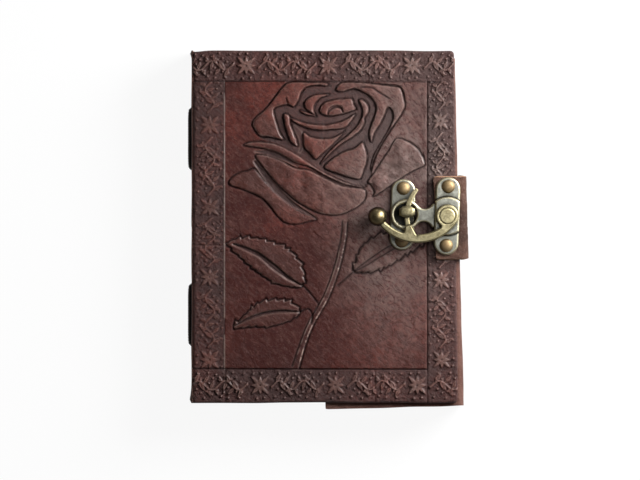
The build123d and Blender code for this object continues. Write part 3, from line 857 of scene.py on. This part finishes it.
def makeFrontCover():
    x, y, countX, countY = coverGrid()
    relief, tool = coverRelief(x, y)
    placeX, placeY = handCut(x, y)
    turn = np.clip(cover["left"] + cover["roll"] - x, 0, cover["roll"])
    fall = cover["roll"] - np.sqrt(cover["roll"] ** 2 - turn**2)
    inset = np.minimum(cover["half"] - np.abs(y), cover["right"] - x)
    fall += 0.55 * np.clip(1 - inset / cover["rim"], 0, 1) ** 2
    z = cover["top"] + relief - fall
    quads = gridFaces(np.arange(x.size).reshape(x.shape))
    inPanel = np.zeros(quads.shape[:2], bool)
    inPanel[countX[0] : countX[0] + countX[1], countY[0] : countY[0] + countY[1]] = True
    points = np.stack([placeX, placeY, z], axis=-1).reshape(-1, 3)
    marks = {"relief": tool.height, "pressed": tool.pressed, "cut": tool.cut, "rubbed": tool.rubbed}
    for name, cells in (("frontPanel", inPanel), ("frontBorder", ~inPanel)):
        used, numbered = np.unique(quads[cells], return_inverse=True)
        piece = newPiece(name, points[used], numbered.reshape(-1, 4), [skin, cutEdge, fleshSide])
        for label, values in marks.items():
            mark(piece.data, label, values.reshape(-1)[used])
        closeDown(piece, cover["bottom"] + cover["sunk"])
        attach(piece, "front_cover")
        print(name, len(piece.data.polygons), "faces")
    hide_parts("front_cover")  # the border, which goes all round, stands for the solid


makeFrontCover()
print("front cover tooled")


def arcPoints(middle, radius, start, end, count):
    turn = np.radians(np.linspace(start, end, count))
    return np.column_stack([middle[0] + radius * np.cos(turn), middle[1] + radius * np.sin(turn)])


def linePoints(start, end, step):  # the points between two others
    count = max(int(round(math.dist(start, end) / step)), 1)
    return np.linspace(start, end, count, endpoint=False)[1:]


def offsetPath(path, thickness):  # the same path on the flesh side, to its left
    return path - sideOf(path) * np.asarray(thickness).reshape(-1, 1)


def bentSheet(name, outer, inner, stations, place, materials, shape):  # leather bent along a path
    across, along = len(stations), len(outer)
    run = runOf(outer)
    i, y = np.meshgrid(np.arange(along), stations, indexing="ij")
    s = run[i]
    middle = (stations[0] + stations[-1]) / 2
    half = (stations[-1] - stations[0]) / 2
    side = np.sign(y - middle)
    toEnd = smoothStep((np.abs(y - middle) / half - 0.9) / 0.1)
    uneven = shape["uneven"] * (softNoise(s, side * 9 + 30, 12, shape["seed"]) + shape.get("full", -0.6))
    grid = []
    for layer, profile in enumerate((outer, inner)):
        spread = shape.get("bevel", 0.0) * layer
        edge = y + toEnd * side * (uneven - shape.get("bevel", 0.0) + spread)
        x, z = profile[i, 0], profile[i, 1]
        if "corner" in shape:  # round the two corners at the end of the path
            corner = shape["corner"]
            ds = np.clip(s - (run[-1] - corner), 0, None) / corner
            dy = np.clip(np.abs(y - middle) - (half - corner), 0, None) / corner
            pull = cornerPull(ds, dy)
            edge = edge - side * pull * dy * corner
            x = x + pull * ds * corner * np.sign(outer[0, 0] - outer[-1, 0])
        grid.append(place(x, edge, z, s, layer))
    points = np.concatenate([layer.reshape(-1, 3) for layer in grid])
    sides = sheetFaces(along, across)
    kinds = np.repeat([0, 2, 1], [len(side) for side in sides])
    if shape.get("joined"):
        kinds[2 * len(sides[0]) + across + along - 2 :][:across] = 0
    piece = newPiece(name, points, np.concatenate(sides), materials, kinds)
    form = bmesh.new()
    form.from_mesh(piece.data)
    bmesh.ops.recalc_face_normals(form, faces=form.faces)
    for edge in form.edges:
        edge.smooth = len({face.material_index for face in edge.link_faces}) == 1
    form.to_mesh(piece.data)
    form.free()
    return piece


spineSheet = {
    "pared": ((0, 22.2, 23.0, 24.6), (2.0, 2.0, 0.6, 0.3)),  # thickness by height: thin under the cover
    "innerTop": 24.3,
    "outside": -56,  # points left of this are on the spine
    "skew": 1.5,  # degrees, of the back cover's fore edge
    "skewFrom": 20,
    "foreEnd": 54.3,
    "headFlare": (1.1, 5.0),
    "tailFlare": (1.3, 11.0),
    "holes": (25.1, 51.0),
    "joined": True,
    "seed": 21,
    "uneven": 0.12,
}
cordHeights = [float(sum(corner[2] for corner in boxOf(f"sewing_cord_{i}")) / 2) for i in range(1, 6)]


def makeSpineSheet():  # the back cover and the spine, one piece of leather
    look = spineSheet
    left, roll = cover["left"], cover["roll"]
    outer = np.vstack([
        [(look["foreEnd"], 0.0)],
        linePoints((look["foreEnd"], 0.0), (left + roll, 0.0), 2.6),
        arcPoints((left + roll, roll), roll, 270, 180, 9),
        linePoints((left, roll), (left, cover["bottom"]), 0.62),
        arcPoints((left + roll, cover["bottom"]), roll, 180, 180 - cover["joinAngle"], 7),
    ])
    inner = offsetPath(outer, -np.interp(outer[:, 1], *look["pared"]))
    inner[:, 1] = np.minimum(inner[:, 1], look["innerTop"])
    stations = np.linspace(-cover["half"], cover["half"], 190)

    def place(x, y, z, s, layer):
        head = np.clip((y - cover["half"] + look["headFlare"][1]) / look["headFlare"][1], 0, 1)
        tail = np.clip((-y - cover["half"] + look["tailFlare"][1]) / look["tailFlare"][1], 0, 1)
        flare = look["headFlare"][0] * head**2 + look["tailFlare"][0] * tail**2
        flare = flare - 0.8 * smoothStep((y - cover["half"] + 1.4) / 1.4) ** 2
        flare = flare - 1.2 * smoothStep((-y - cover["half"] + 2.0) / 2.0) ** 2
        spineward = smoothStep((-50 - x) / 5) * smoothStep((24.4 - z) / 2.5)
        share = np.clip((x - look["skewFrom"]) / (look["foreEnd"] - look["skewFrom"]), 0, 1)
        newX = x - flare * spineward - share * y * math.tan(math.radians(look["skew"]))
        onSpine = (layer == 0) * (x < look["outside"])
        bulge = 0.22 * softNoise(y, z, 13, 22) + 0.12 * softNoise(y, z, 5, 23)
        newX = newX + (bulge + 0.22) * spineward * onSpine
        for hole in look["holes"]:
            for height in cordHeights:
                away = np.hypot(np.abs(y) - hole, z - height)
                newX = newX + 0.5 * hump(away, 1.0) * onSpine
        return np.stack([newX, y - 0.5 * head**2 * spineward, z], axis=-1)

    piece = bentSheet("spineLeather", outer, inner, stations, place, [wrapSkin, cutEdge, fleshSide], look)
    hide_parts("back_cover", "spine")
    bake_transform(piece)


makeSpineSheet()
foldJoint = next(joint for joint in frame["joints"] if joint["name"] == "fore_edge_fold")
foldAlong = np.array(foldJoint["axis"])
foldOut = np.array([foldAlong[1], -foldAlong[0], 0.0])
foldSheet = {
    "thickness": 1.8,
    "outer": 0.9,  # from the axis of the fold to the wall's outer face
    "start": -4.4,
    "lowRadius": 1.9,
    "topRadius": 2.6,
    "depth": 60.3,
    "middle": -2.3,
    "height": 149.1,
    "corner": 0.5,
    "uneven": 0.22,
    "full": 2.2,  # how far the cut edge stands out, in shares of its unevenness
    "seed": 31,
}
foldStart = np.array(foldJoint["pos_m"]) / mm * (1, 1, 0) + foldSheet["outer"] * foldOut


def onFold(x, y, z):  # from the wall's own directions, which stand a little askew
    flat = foldStart + x[..., None] * foldOut + y[..., None] * foldAlong
    return flat + z[..., None] * np.array([0.0, 0.0, 1.0])


def makeForeEdge():
    look = foldSheet
    low, high, flapTop = look["lowRadius"], look["topRadius"], boxOf("inner_flap")[1][2]
    outer = np.vstack([
        [(look["start"], 0.0)],
        linePoints((look["start"], 0.0), (-low, 0.0), 0.8),
        arcPoints((-low, low), low, 270, 360, 9),
        linePoints((0.0, low), (0.0, flapTop - high), 0.9),
        arcPoints((-high, flapTop - high), high, 0, 90, 11),
        linePoints((-high, flapTop), (-look["depth"], flapTop), 1.4),
        [(-look["depth"], flapTop)],
    ])
    inner = offsetPath(outer, look["thickness"])
    half = look["height"] / 2
    stations = np.linspace(look["middle"] - half, look["middle"] + half, 170)

    def place(x, y, z, s, layer):
        rough = 0.14 * softNoise(s, y, 11, 32) + 0.05 * softNoise(s, y, 3.4, 33) - 0.15
        onWall = smoothStep((x + 3.5) / 2) * smoothStep((z - 1.5) / 2)
        onTop = smoothStep((-2.4 - x) / 3) * (z > 12)
        newX = x + rough * onWall * (layer == 0)
        newX = newX + 0.5 * softNoise(y, 4, 15, 34) * smoothStep((-x - 50) / 10)
        return onFold(newX, y, z + rough * onTop * (layer == 0))

    piece = bentSheet("foreEdgeLeather", outer, inner, stations, place, [wrapSkin, cutEdge, fleshSide], look)
    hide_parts("fore_edge_wall", "inner_flap")
    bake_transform(piece)


makeForeEdge()
strapSheet = {
    "thickness": 1.85,
    "foot": 6.0,
    "leave": 17.0,
    "bulge": 3.6,  # from the wall to the shoulder's outermost line
    "shoulder": 2.8,
    "end": -10.6,
    "middle": 3.9,
    "width": 36.5,
    "corner": 1.4,
    "bevel": 0.45,
    "uneven": 0.2,
    "seed": 41,
}


def makeStrap():
    look = strapSheet
    top = boxOf("strap_end")[1][2]
    bend = look["shoulder"]
    side = smoothLine([
        (2.0, look["foot"]), (2.0, 10.0), (2.0, 14.0), (2.05, look["leave"]), (2.7, 20.0), (3.45, 23.0),
        (look["bulge"], top - bend),
    ], steps=6)
    outer = np.vstack([
        side[:-1],
        arcPoints((look["bulge"] - bend, top - bend), bend, 0, 90, 14),
        linePoints((look["bulge"] - bend, top), (look["end"], top), 0.5),
        [(look["end"], top)],
    ])
    inner = offsetPath(outer, look["thickness"])
    stations = np.linspace(look["middle"] - look["width"] / 2, look["middle"] + look["width"] / 2, 90)

    def place(x, y, z, s, layer):
        rough = 0.10 * softNoise(s, y, 7, 42) + 0.07 * softNoise(s, y, 2.3, 43) - 0.14
        onTop = smoothStep((z - 26) / 1.2)
        newX = x + rough * (1 - onTop) * (layer == 0)
        ends = smoothStep((-8.5 - x) / 2) * 0.35 * softNoise(y, 2, 7, 44)
        return onFold(newX + ends, y, z + rough * onTop * (layer == 0))

    piece = bentSheet("strapLeather", outer, inner, stations, place, [strapSkin, strapEdge, fleshSide], look)
    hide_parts("strap_base", "strap_end")
    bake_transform(piece)


makeStrap()
print("wrap and strap folded")

paperLook = {
    "light": (0.72, 0.63, 0.47),
    "dark": (0.52, 0.41, 0.26),
    "sheets": 8,
    "foreEdge": 53.85,
    "spineEdge": -55.15,
    "half": 73.5,
    "swell": -3.4,  # the folds make the block thicker from here to the spine
    "bottom": 2.0,
    "foreHeight": 18.6,
    "spineHeight": 20.7,
}


def paperMaterial():
    look = paperLook
    mat = Finish("handmadePaper", look["light"])
    fibres = mat.noise(1.3, 6.0, 0.7, 1.6)
    mat.tint(mat.remap(mat.noise(18, 3.0, 0.6), 0.35, 0.7), look["dark"])
    mat.tint(mat.remap(fibres, 0.56, 0.75, 0.0, 0.55), look["dark"])
    mat.bump(fibres, 0.5, 0.05)
    return mat.done({"Roughness": 0.95})


def foldedSheet(number, nested, seed):  # one sheet of a signature: two leaves and the fold between them
    look = paperLook
    rng = np.random.default_rng(seed)
    leaves = 2 * look["sheets"]
    stations = np.linspace(-look["half"], look["half"], 52)
    xs = np.array([look["foreEdge"], 53.0, 51.5, 46, 34, 20, 8, look["swell"], -16, -30, -42, -49, -52.4])
    rise = np.clip((look["swell"] - xs) / (look["swell"] - look["spineEdge"]), 0, 1)
    total = look["foreHeight"] + (look["spineHeight"] - look["foreHeight"]) * rise
    each = total / 5
    low = look["bottom"] + number * each
    lower = low + (nested + 0.5) * each / leaves
    upper = low + (leaves - nested - 0.5) * each / leaves
    middle = (lower[-1] + upper[-1]) / 2
    reach = (upper[-1] - lower[-1]) / 2
    turn = np.radians(np.linspace(-90, 90, 9)[1:-1])
    depth = 2.6 - 0.3 * nested
    fold = np.column_stack([xs[-1] - depth * np.cos(turn), middle + reach * np.sin(turn)])
    path = np.vstack([np.column_stack([xs, lower]), fold, np.column_stack([xs, upper])[::-1]])
    thin = 0.36 * each[0] / leaves
    creep = rng.uniform(-0.9, 0.0, 2)
    layers = []
    for side in (-1, 1):
        shifted = offsetPath(path, side * thin)
        x = np.repeat(shifted[:, :1], len(stations), axis=1)
        z = np.repeat(shifted[:, 1:], len(stations), axis=1)
        y = np.repeat(stations[None], len(path), axis=0)
        for leaf, rows in ((0, slice(0, 4)), (1, slice(-4, None))):
            ragged = creep[leaf] + 0.5 * softNoise(stations, leaf * 3, 2.6, seed + 1) - 0.4
            ragged = ragged + 0.25 * softNoise(stations, leaf * 3, 0.9, seed + 2)
            share = np.array([1, 0.8, 0.5, 0.15][:: 1 - 2 * leaf])
            x[rows] += share[:, None] * ragged[None]
        y[:, -1] += 0.45 * (softNoise(path[:, 0], path[:, 1] * 3, 3.0, seed + 3) - 1)
        y[:, 0] -= 0.45 * (softNoise(path[:, 0], path[:, 1] * 3, 3.0, seed + 4) - 1)
        layers.append(np.stack([x, y, z], axis=-1).reshape(-1, 3))
    return np.concatenate(layers), np.concatenate(sheetFaces(len(path), len(stations)))[:, ::-1]


def makePages():
    paper = paperMaterial()
    for number in range(5):
        seeds = 500 + 40 * number + 5 * np.arange(paperLook["sheets"])
        sheets = joinParts([foldedSheet(number, nested, seed) for nested, seed in enumerate(seeds)])
        piece = newPiece(f"signature{number + 1}Sheets", *sheets, [paper], smooth=False)
        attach(piece, "book")
        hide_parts(f"signature_{number + 1}")


makePages()
cordLook = {
    "outX": -57.55,
    "inX": -53.15,
    "near": 25.1,
    "far": 51.0,
    "tail": 6.0,
    "bow": 0.25,
    "strand": 0.44,
    "apart": 0.40,  # from the cord's middle to each ply's
    "twist": 2.3,  # length of one turn of the two plies
    "colour": (0.018, 0.012, 0.010),
    "worn": (0.06, 0.042, 0.034),
}


def cordMaterial():
    mat = Finish("waxedCord", cordLook["colour"])
    mat.tint(mat.remap(mat.noise(0.5), 0.4, 0.75), cordLook["worn"])
    return mat.done({"Roughness": 0.55})


def tube(path, radius, sides):  # a round strand along a path
    run = np.gradient(path, axis=0)
    run /= np.linalg.norm(run, axis=1)[:, None]
    aside = np.cross(run, (0.0, 0.0, 1.0))
    aside /= np.linalg.norm(aside, axis=1)[:, None]
    over = np.cross(aside, run)
    turn = np.linspace(0, 2 * math.pi, sides, endpoint=False)
    ring = aside[:, None] * np.cos(turn)[None, :, None] + over[:, None] * np.sin(turn)[None, :, None]
    points = (path[:, None] + radius * ring).reshape(-1, 3)
    return points, turnedFaces(len(path), sides)


def makeCords():
    look = cordLook
    material = cordMaterial()
    inside, out, near, far = (look[name] for name in ("inX", "outX", "near", "far"))
    half = [
        (inside, 4.0), (inside, near - 3), (inside - 0.8, near - 0.3), (-55.6, near), (out + 0.4, near + 0.3),
        (out - 0.2, near + 2.6), (out - look["bow"], 38.0), (out - 0.2, far - 2.6), (out + 0.4, far - 0.3),
        (-55.6, far), (inside - 0.8, far + 0.3), (inside, far + look["tail"]),
    ]
    line = smoothLine([(x, -y) for x, y in half[::-1]] + half, steps=24)
    run = runOf(line)
    at = np.arange(0, run[-1], 0.3)
    flat = np.column_stack([np.interp(at, run, line[:, 0]), np.interp(at, run, line[:, 1])])
    aside = sideOf(flat)
    for number, z in enumerate(cordHeights):
        plies = []
        for ply in (0, math.pi):
            turn = at / look["twist"] * 2 * math.pi + ply + number
            sideways = aside * (look["apart"] * np.cos(turn))[:, None]
            strand = np.column_stack([flat + sideways, z + look["apart"] * np.sin(turn)])
            plies.append(tube(strand, look["strand"], 8))
        piece = newPiece(f"cord{number + 1}Strands", *joinParts(plies), [material])
        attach(piece, "book")
        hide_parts(f"sewing_cord_{number + 1}")


makeCords()
print("pages sewn")

metals = {  # face, its darker patches, rubbed edges, deep shade, and roughness from and to
    "antiqueBrass": (
        (0.34, 0.30, 0.18), (0.13, 0.110, 0.060), (0.45, 0.39, 0.22), (0.008, 0.006, 0.004), 0.36, 0.50
    ),
    "plateBrass": (
        (0.22, 0.22, 0.19), (0.12, 0.12, 0.10), (0.74, 0.66, 0.42), (0.008, 0.007, 0.006), 0.34, 0.48
    ),
    "darkBronze": (
        (0.25, 0.20, 0.105), (0.11, 0.080, 0.042), (0.42, 0.34, 0.18), (0.012, 0.008, 0.005), 0.30, 0.42
    ),
    "rivetBrass": (
        (0.25, 0.180, 0.096), (0.15, 0.098, 0.050), (0.40, 0.30, 0.16), (0.03, 0.018, 0.01), 0.50, 0.64
    ),
}


def metalMaterial(name):
    face, patch, rubbed, shade, smoothest, roughest = metals[name]
    mat = Finish(name, face)
    clouds = mat.noise(2.6, 5.0, 0.65, 0.6)
    pits = mat.noise(0.55, 4.0, 0.65)
    bend = mat.add("NewGeometry").outputs["Pointiness"]
    corner = mat.add("AmbientOcclusion", {"Distance": 2.4 * mm}, samples=8).outputs["AO"]
    mat.tint(mat.remap(clouds, 0.38, 0.66), patch)
    mat.tint(mat.remap(pits, 0.50, 0.66, 0.0, 0.8), patch)
    mat.tint(mat.remap(bend, 0.504, 0.526, 0.0, 0.9), rubbed)
    # painted shade: darker in corners and concave bends, and where a piece marks painted shade
    mat.tint(mat.remap(corner, 0.42, 0.86, 0.97, 0.0), shade)
    mat.tint(mat.remap(bend, 0.43, 0.49, 0.85, 0.0), shade)
    mat.tint(mat.calc("MULTIPLY", mat.attribute("paintedShade"), 0.96), shade)
    mat.bump(pits, 0.35, 0.06)
    return mat.done({"Metallic": 1.0, "Roughness": mat.remap(clouds, 0.3, 0.7, smoothest, roughest)})


brass, plateBrass, bronze, copper = (metalMaterial(name) for name in metals)


def castPiece(name, node, body, voxel, rounds, metal, spread, paintedShade=None):  # the CAD form, worn round
    source = frame["nodes"][node]
    mesh = source.data.copy()
    mesh.transform(source.matrix_world)
    mesh.materials.clear()
    piece = placed(name, mesh)
    form = bmesh.new()
    form.from_mesh(mesh)
    bmesh.ops.remove_doubles(form, verts=form.verts, dist=0.002 * mm)
    form.to_mesh(mesh)
    form.free()
    remesh = piece.modifiers.new("cast", "REMESH")
    remesh.mode = "VOXEL"
    remesh.voxel_size = voxel * mm
    soften = piece.modifiers.new("worn", "SMOOTH")
    soften.factor = 0.5
    soften.iterations = rounds
    done = bpy.data.meshes.new_from_object(piece.evaluated_get(bpy.context.evaluated_depsgraph_get()))
    piece.modifiers.clear()
    piece.data = done
    done.name = name
    done.materials.clear()
    done.materials.append(metal)
    done.polygons.foreach_set("use_smooth", np.ones(len(done.polygons), bool))
    places = np.array([vert.co for vert in done.vertices]) / mm
    normals = np.array([vert.normal for vert in done.vertices])
    if paintedShade is not None:
        mark(done, "paintedShade", paintedShade(places))
    moves = spread(places, normals[:, :2])  # worn edges draw in: the width goes back
    places[:, : moves.shape[1]] += moves
    done.vertices.foreach_set("co", (places * mm).reshape(-1))
    done.update()
    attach(piece, body)
    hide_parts(node)
    print(name, len(done.polygons), "faces")


pinLow, pinHigh = boxOf("hook_pivot")
pinMiddle = (pinLow + pinHigh) / 2
stapleLow, stapleHigh = boxOf("staple")
stapleMiddle = (stapleLow + stapleHigh) / 2
stapleHalf = (stapleHigh - stapleLow) / 2
ringFromPin = (-17.9, 0.62)
ringMiddle = pinMiddle[:2] + ringFromPin
ringRadius = 6.4
prong = {"radius": 17.4, "full": 0.26, "root": [(37.4, 0.8), (40.5, -4.2)]}
barrel = {"depth": 2.2, "narrower": 0.30, "shorter": 0.42, "power": 2.4, "full": 0.28, "fall": 0.22}
boss = {"radius": 8.5, "left": 47, "plateTop": 29.6, "ringUnder": 28.6}


def evenSpread(places, normals):
    return normals * 0.1


def ringSpread(places, normals):  # the ring's band is the narrowest part of the casting
    return normals * (0.1 + 0.06 * smoothStep((43 - places[:, :1]) / 3))


def prongSpread(places, normals):  # the prong curves about the pin and narrows to a worn point
    out = places[:, :2] - pinMiddle[:2]
    radius = np.linalg.norm(out, axis=1)[:, None]
    out /= radius
    turn = np.degrees(np.arctan2(out[:, 1:], out[:, :1])) % 360
    near = smoothStep((2.6 - np.abs(radius - prong["radius"])) / 0.6)
    onProng = near * smoothStep((196 - turn) / 6) * (turn > 130)
    tip = np.clip((147 - turn) / 9.2, 0, 1)
    share = np.sqrt(1 - 0.94 * tip**2) * (1 - 0.25 * smoothStep((turn - 176) / 6))
    fuller = (normals * out).sum(1)[:, None] * out * prong["full"]
    sideways = fuller + out * (radius - prong["radius"]) * (share - 1)
    return normals * 0.1 * (1 - onProng) + sideways * onProng


def barrelSpread(places, normals):  # the staple's bar is a worn barrel, full in its middle
    u, v = ((places[:, :2] - stapleMiddle[:2]) / stapleHalf[:2]).T
    onBar = smoothStep((places[:, 2] - stapleHigh[2] + barrel["depth"]) / 0.5)
    narrower, shorter = (
        np.sqrt(np.clip(1 - barrel[name] * np.clip(np.abs(side), 0, 1) ** barrel["power"], 0, 1)) - 1
        for name, side in (("narrower", v), ("shorter", u))
    )
    moves = np.zeros((len(places), 3))
    moves[:, :2] = normals * barrel["full"]
    moves[:, 0] += onBar * u * stapleHalf[0] * narrower
    moves[:, 1] += onBar * v * stapleHalf[1] * shorter
    onTop = smoothStep((places[:, 2] - stapleHigh[2] + 1.0) / 0.8)
    moves[:, 2] -= onBar * barrel["fall"] * (u**2 + v**2) * onTop
    return moves


def ringShade(places):  # painted shadow inside the ring
    away = np.linalg.norm(places[:, :2] - ringMiddle, axis=1)
    return 0.9 * smoothStep((ringRadius - away) / 0.8)


def prongShade(places):  # painted shade where the prong leaves the arm
    away, _ = nearLine(places[:, 0], places[:, 1], np.array(prong["root"]), False)
    return 0.72 * hump(away, 0.7)


def bossShade(places):  # painted shade at the foot of the raised boss, and low down left of it
    away = np.linalg.norm(places[:, :2] - pinMiddle[:2], axis=1)
    onPlate = (places[:, 2] < boss["plateTop"]) & (places[:, 0] > boss["left"])
    foot = hump(away - boss["radius"], 0.42) * onPlate
    under = smoothStep((boss["ringUnder"] - places[:, 2]) / 0.5) * (places[:, 0] < boss["left"])
    return np.maximum(foot, 0.7 * under)


castPiece("haspPlate", "hasp_plate", "strap", 0.16, 6, plateBrass, ringSpread, bossShade)
castPiece("staplePlate", "staple_plate", "front_cover", 0.16, 6, plateBrass, evenSpread, ringShade)
castPiece("swingHook", "swing_hook", "hook", 0.15, 8, brass, prongSpread, prongShade)
castPiece("stapleLoop", "staple", "front_cover", 0.10, 40, brass, barrelSpread)


def spunPiece(name, profile, centres, body, node, material, sides=56):  # turned on a lathe
    profile = np.asarray(profile, float)
    turn = np.linspace(0, 2 * math.pi, sides, endpoint=False)
    parts = []
    for x, y, z in centres:
        around = [x + profile[:, :1] * np.cos(turn), y + profile[:, :1] * np.sin(turn)]
        ring = np.stack([*around, np.repeat(z + profile[:, 1:], sides, axis=1)], axis=-1)
        parts.append((ring.reshape(-1, 3), turnedFaces(len(profile), sides)))
    piece = newPiece(name, *joinParts(parts), [material])
    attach(piece, body)
    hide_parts(node)
    return piece


def rivetCentres(node, radius):  # two rivets, at opposite corners of the node's box
    low, high = boxOf(node)
    return [(high[0] - radius, high[1] - radius, low[2]), (low[0] + radius, low[1] + radius, low[2])]


def domeProfile(post, base, radius, height):
    turn = np.radians(np.linspace(12, 88, 12))
    dome = np.column_stack([(radius - 0.35) * np.cos(turn), base + 0.42 + (height - 0.42) * np.sin(turn)])
    rim = [(radius - 0.15, base), (radius, base + 0.12)]
    rim += [(radius - 0.05, base + 0.3), (radius - 0.3, base + 0.40)]
    return [(post, 0.0), (post, base)] + rim + dome.tolist()


rivetLook = {"post": 1.2, "dome": 2.9, "height": 1.6, "back": 2.6, "backHeight": 0.8}
for label, body in (("hasp", "strap"), ("staple", "front_cover")):
    low, high = boxOf(f"{label}_rivets")
    base = high[2] - low[2] - rivetLook["height"]
    centres = rivetCentres(f"{label}_rivets", rivetLook["dome"])
    outline = domeProfile(rivetLook["post"], base, rivetLook["dome"], rivetLook["height"])
    spunPiece(f"{label}RivetCaps", outline, centres, body, f"{label}_rivets", copper)
    back, thick = rivetLook["back"], rivetLook["backHeight"]
    outline = [(0.05, 0.0), (back - 0.35, 0.0), (back, 0.25)]
    outline += [(back, thick - 0.05), (back - 0.1, thick), (0.05, thick)]
    centres = rivetCentres(f"{label}_rivet_backs", back)
    spunPiece(f"{label}RivetBacks", outline, centres, body, f"{label}_rivet_backs", copper)

pin = {"shaft": 1.8, "head": 3.45, "headHeight": 0.9}
head, top = pin["head"], pinHigh[2] - pinLow[2]
neck = top - pin["headHeight"]
outline = [
    (pin["shaft"], 0.0), (pin["shaft"], neck), (head - 0.1, neck), (head, top - 0.6),
    (head - 0.03, top - 0.3), (head - 0.16, top - 0.12), (head - 0.4, top - 0.02),
    (head - 0.8, top), (0.05, top),
]
centres = [(pinMiddle[0], pinMiddle[1], pinLow[2])]
spunPiece("hookPin", outline, centres, "strap", "hook_pivot", brass)


def makeBall():
    low, high = boxOf("ball_knob")
    radius = (high[2] - low[2]) / 2
    middle = (low + high) / 2
    turn = np.radians(np.linspace(-89, 89, 60))
    ridge = 0.10 * hump(np.degrees(turn), 3.0)  # the seam of the casting
    profile = np.column_stack([(radius - 0.1 + ridge) * np.cos(turn), (radius - 0.03) * np.sin(turn)])
    ball = spunPiece("ballKnob", profile, [middle], "hook", "ball_knob", bronze, 72)
    wide = np.repeat(np.cos(turn), 72)  # painted shade round the ball's widest part, light at top and bottom
    mark(ball.data, "paintedShade", 0.85 * smoothStep((wide - 0.55) / 0.42))


makeBall()
print("clasp made")

studio = {
    "cameraHeight": 4.0,
    "fieldWide": 0.2763,  # width of the view at the front cover's face
    "viewX": -0.00151,
    "viewY": -0.00574,
    "floorReach": 3000,
    "aim": (0, 0, 0.02),
    "brightSide": (0.80, 0.58, 0.14),  # where the room is lightest
    "lamps": {  # place, size and watts
        "keyLamp": ((0.41, 0.23, 0.26), 0.30, 7.5),
        "sheenLamp": ((0.086, 0.026, 0.172), 0.05, 0.110),
    },
}


def floorMaterial():
    mat = Finish("paleFloor", (0.93, 0.93, 0.93))
    glow = mat.add("Emission", {"Color": (1, 1, 1), "Strength": 1.0})
    path = mat.add("LightPath").outputs
    seen = mat.calc("MAXIMUM", path["Is Camera Ray"], path["Is Glossy Ray"])
    shares = {"Fac": mat.calc("MULTIPLY", seen, 0.92), 1: mat.shader.outputs[0], 2: glow.outputs[0]}
    mix = mat.add("MixShader", shares)
    mat.plug(mat.tree.nodes["Material Output"], {"Surface": mix.outputs[0]})
    return mat.done({"Roughness": 0.9})


def makeStudio():
    reach = studio["floorReach"]
    corners = [(-reach, -reach, 0), (reach, -reach, 0), (reach, reach, 0), (-reach, reach, 0)]
    floor = newPiece("floor", corners, [(0, 1, 2, 3)], [floorMaterial()])
    scene = bpy.context.scene
    scene.view_settings.view_transform = "Standard"
    world = bpy.data.worlds.new("studioRoom")
    scene.world = world
    world.use_nodes = True
    sky = Nodes(world.node_tree)
    around = sky.add("TexCoord").outputs["Generated"]
    towards = sky.add("VectorMath", {0: around, 1: studio["brightSide"]}, operation="DOT_PRODUCT")
    level = sky.remap(towards.outputs["Value"], -0.35, 1.0, 0.05, 0.46)
    sky.plug(sky.tree.nodes["Background"], {"Strength": level, "Color": (1, 1, 1)})
    for name, (place, size, watts) in studio["lamps"].items():
        light = bpy.data.lights.new(name, "AREA")
        light.size = size
        light.energy = watts
        lamp = placed(name, light)
        lamp.location = place
        lamp.rotation_euler = (Vector(studio["aim"]) - Vector(place)).to_track_quat("-Z", "Y").to_euler()
        lamp.visible_camera = False
    lens = bpy.data.cameras.new("camera")
    distance = studio["cameraHeight"] - cover["top"] * mm
    lens.sensor_width = 36.0
    lens.lens = lens.sensor_width * distance / studio["fieldWide"]
    lens.clip_start = 0.01
    camera = placed("camera", lens)
    camera.location = (studio["viewX"], studio["viewY"], studio["cameraHeight"])
    scene.camera = camera


makeStudio()
print("studio set")
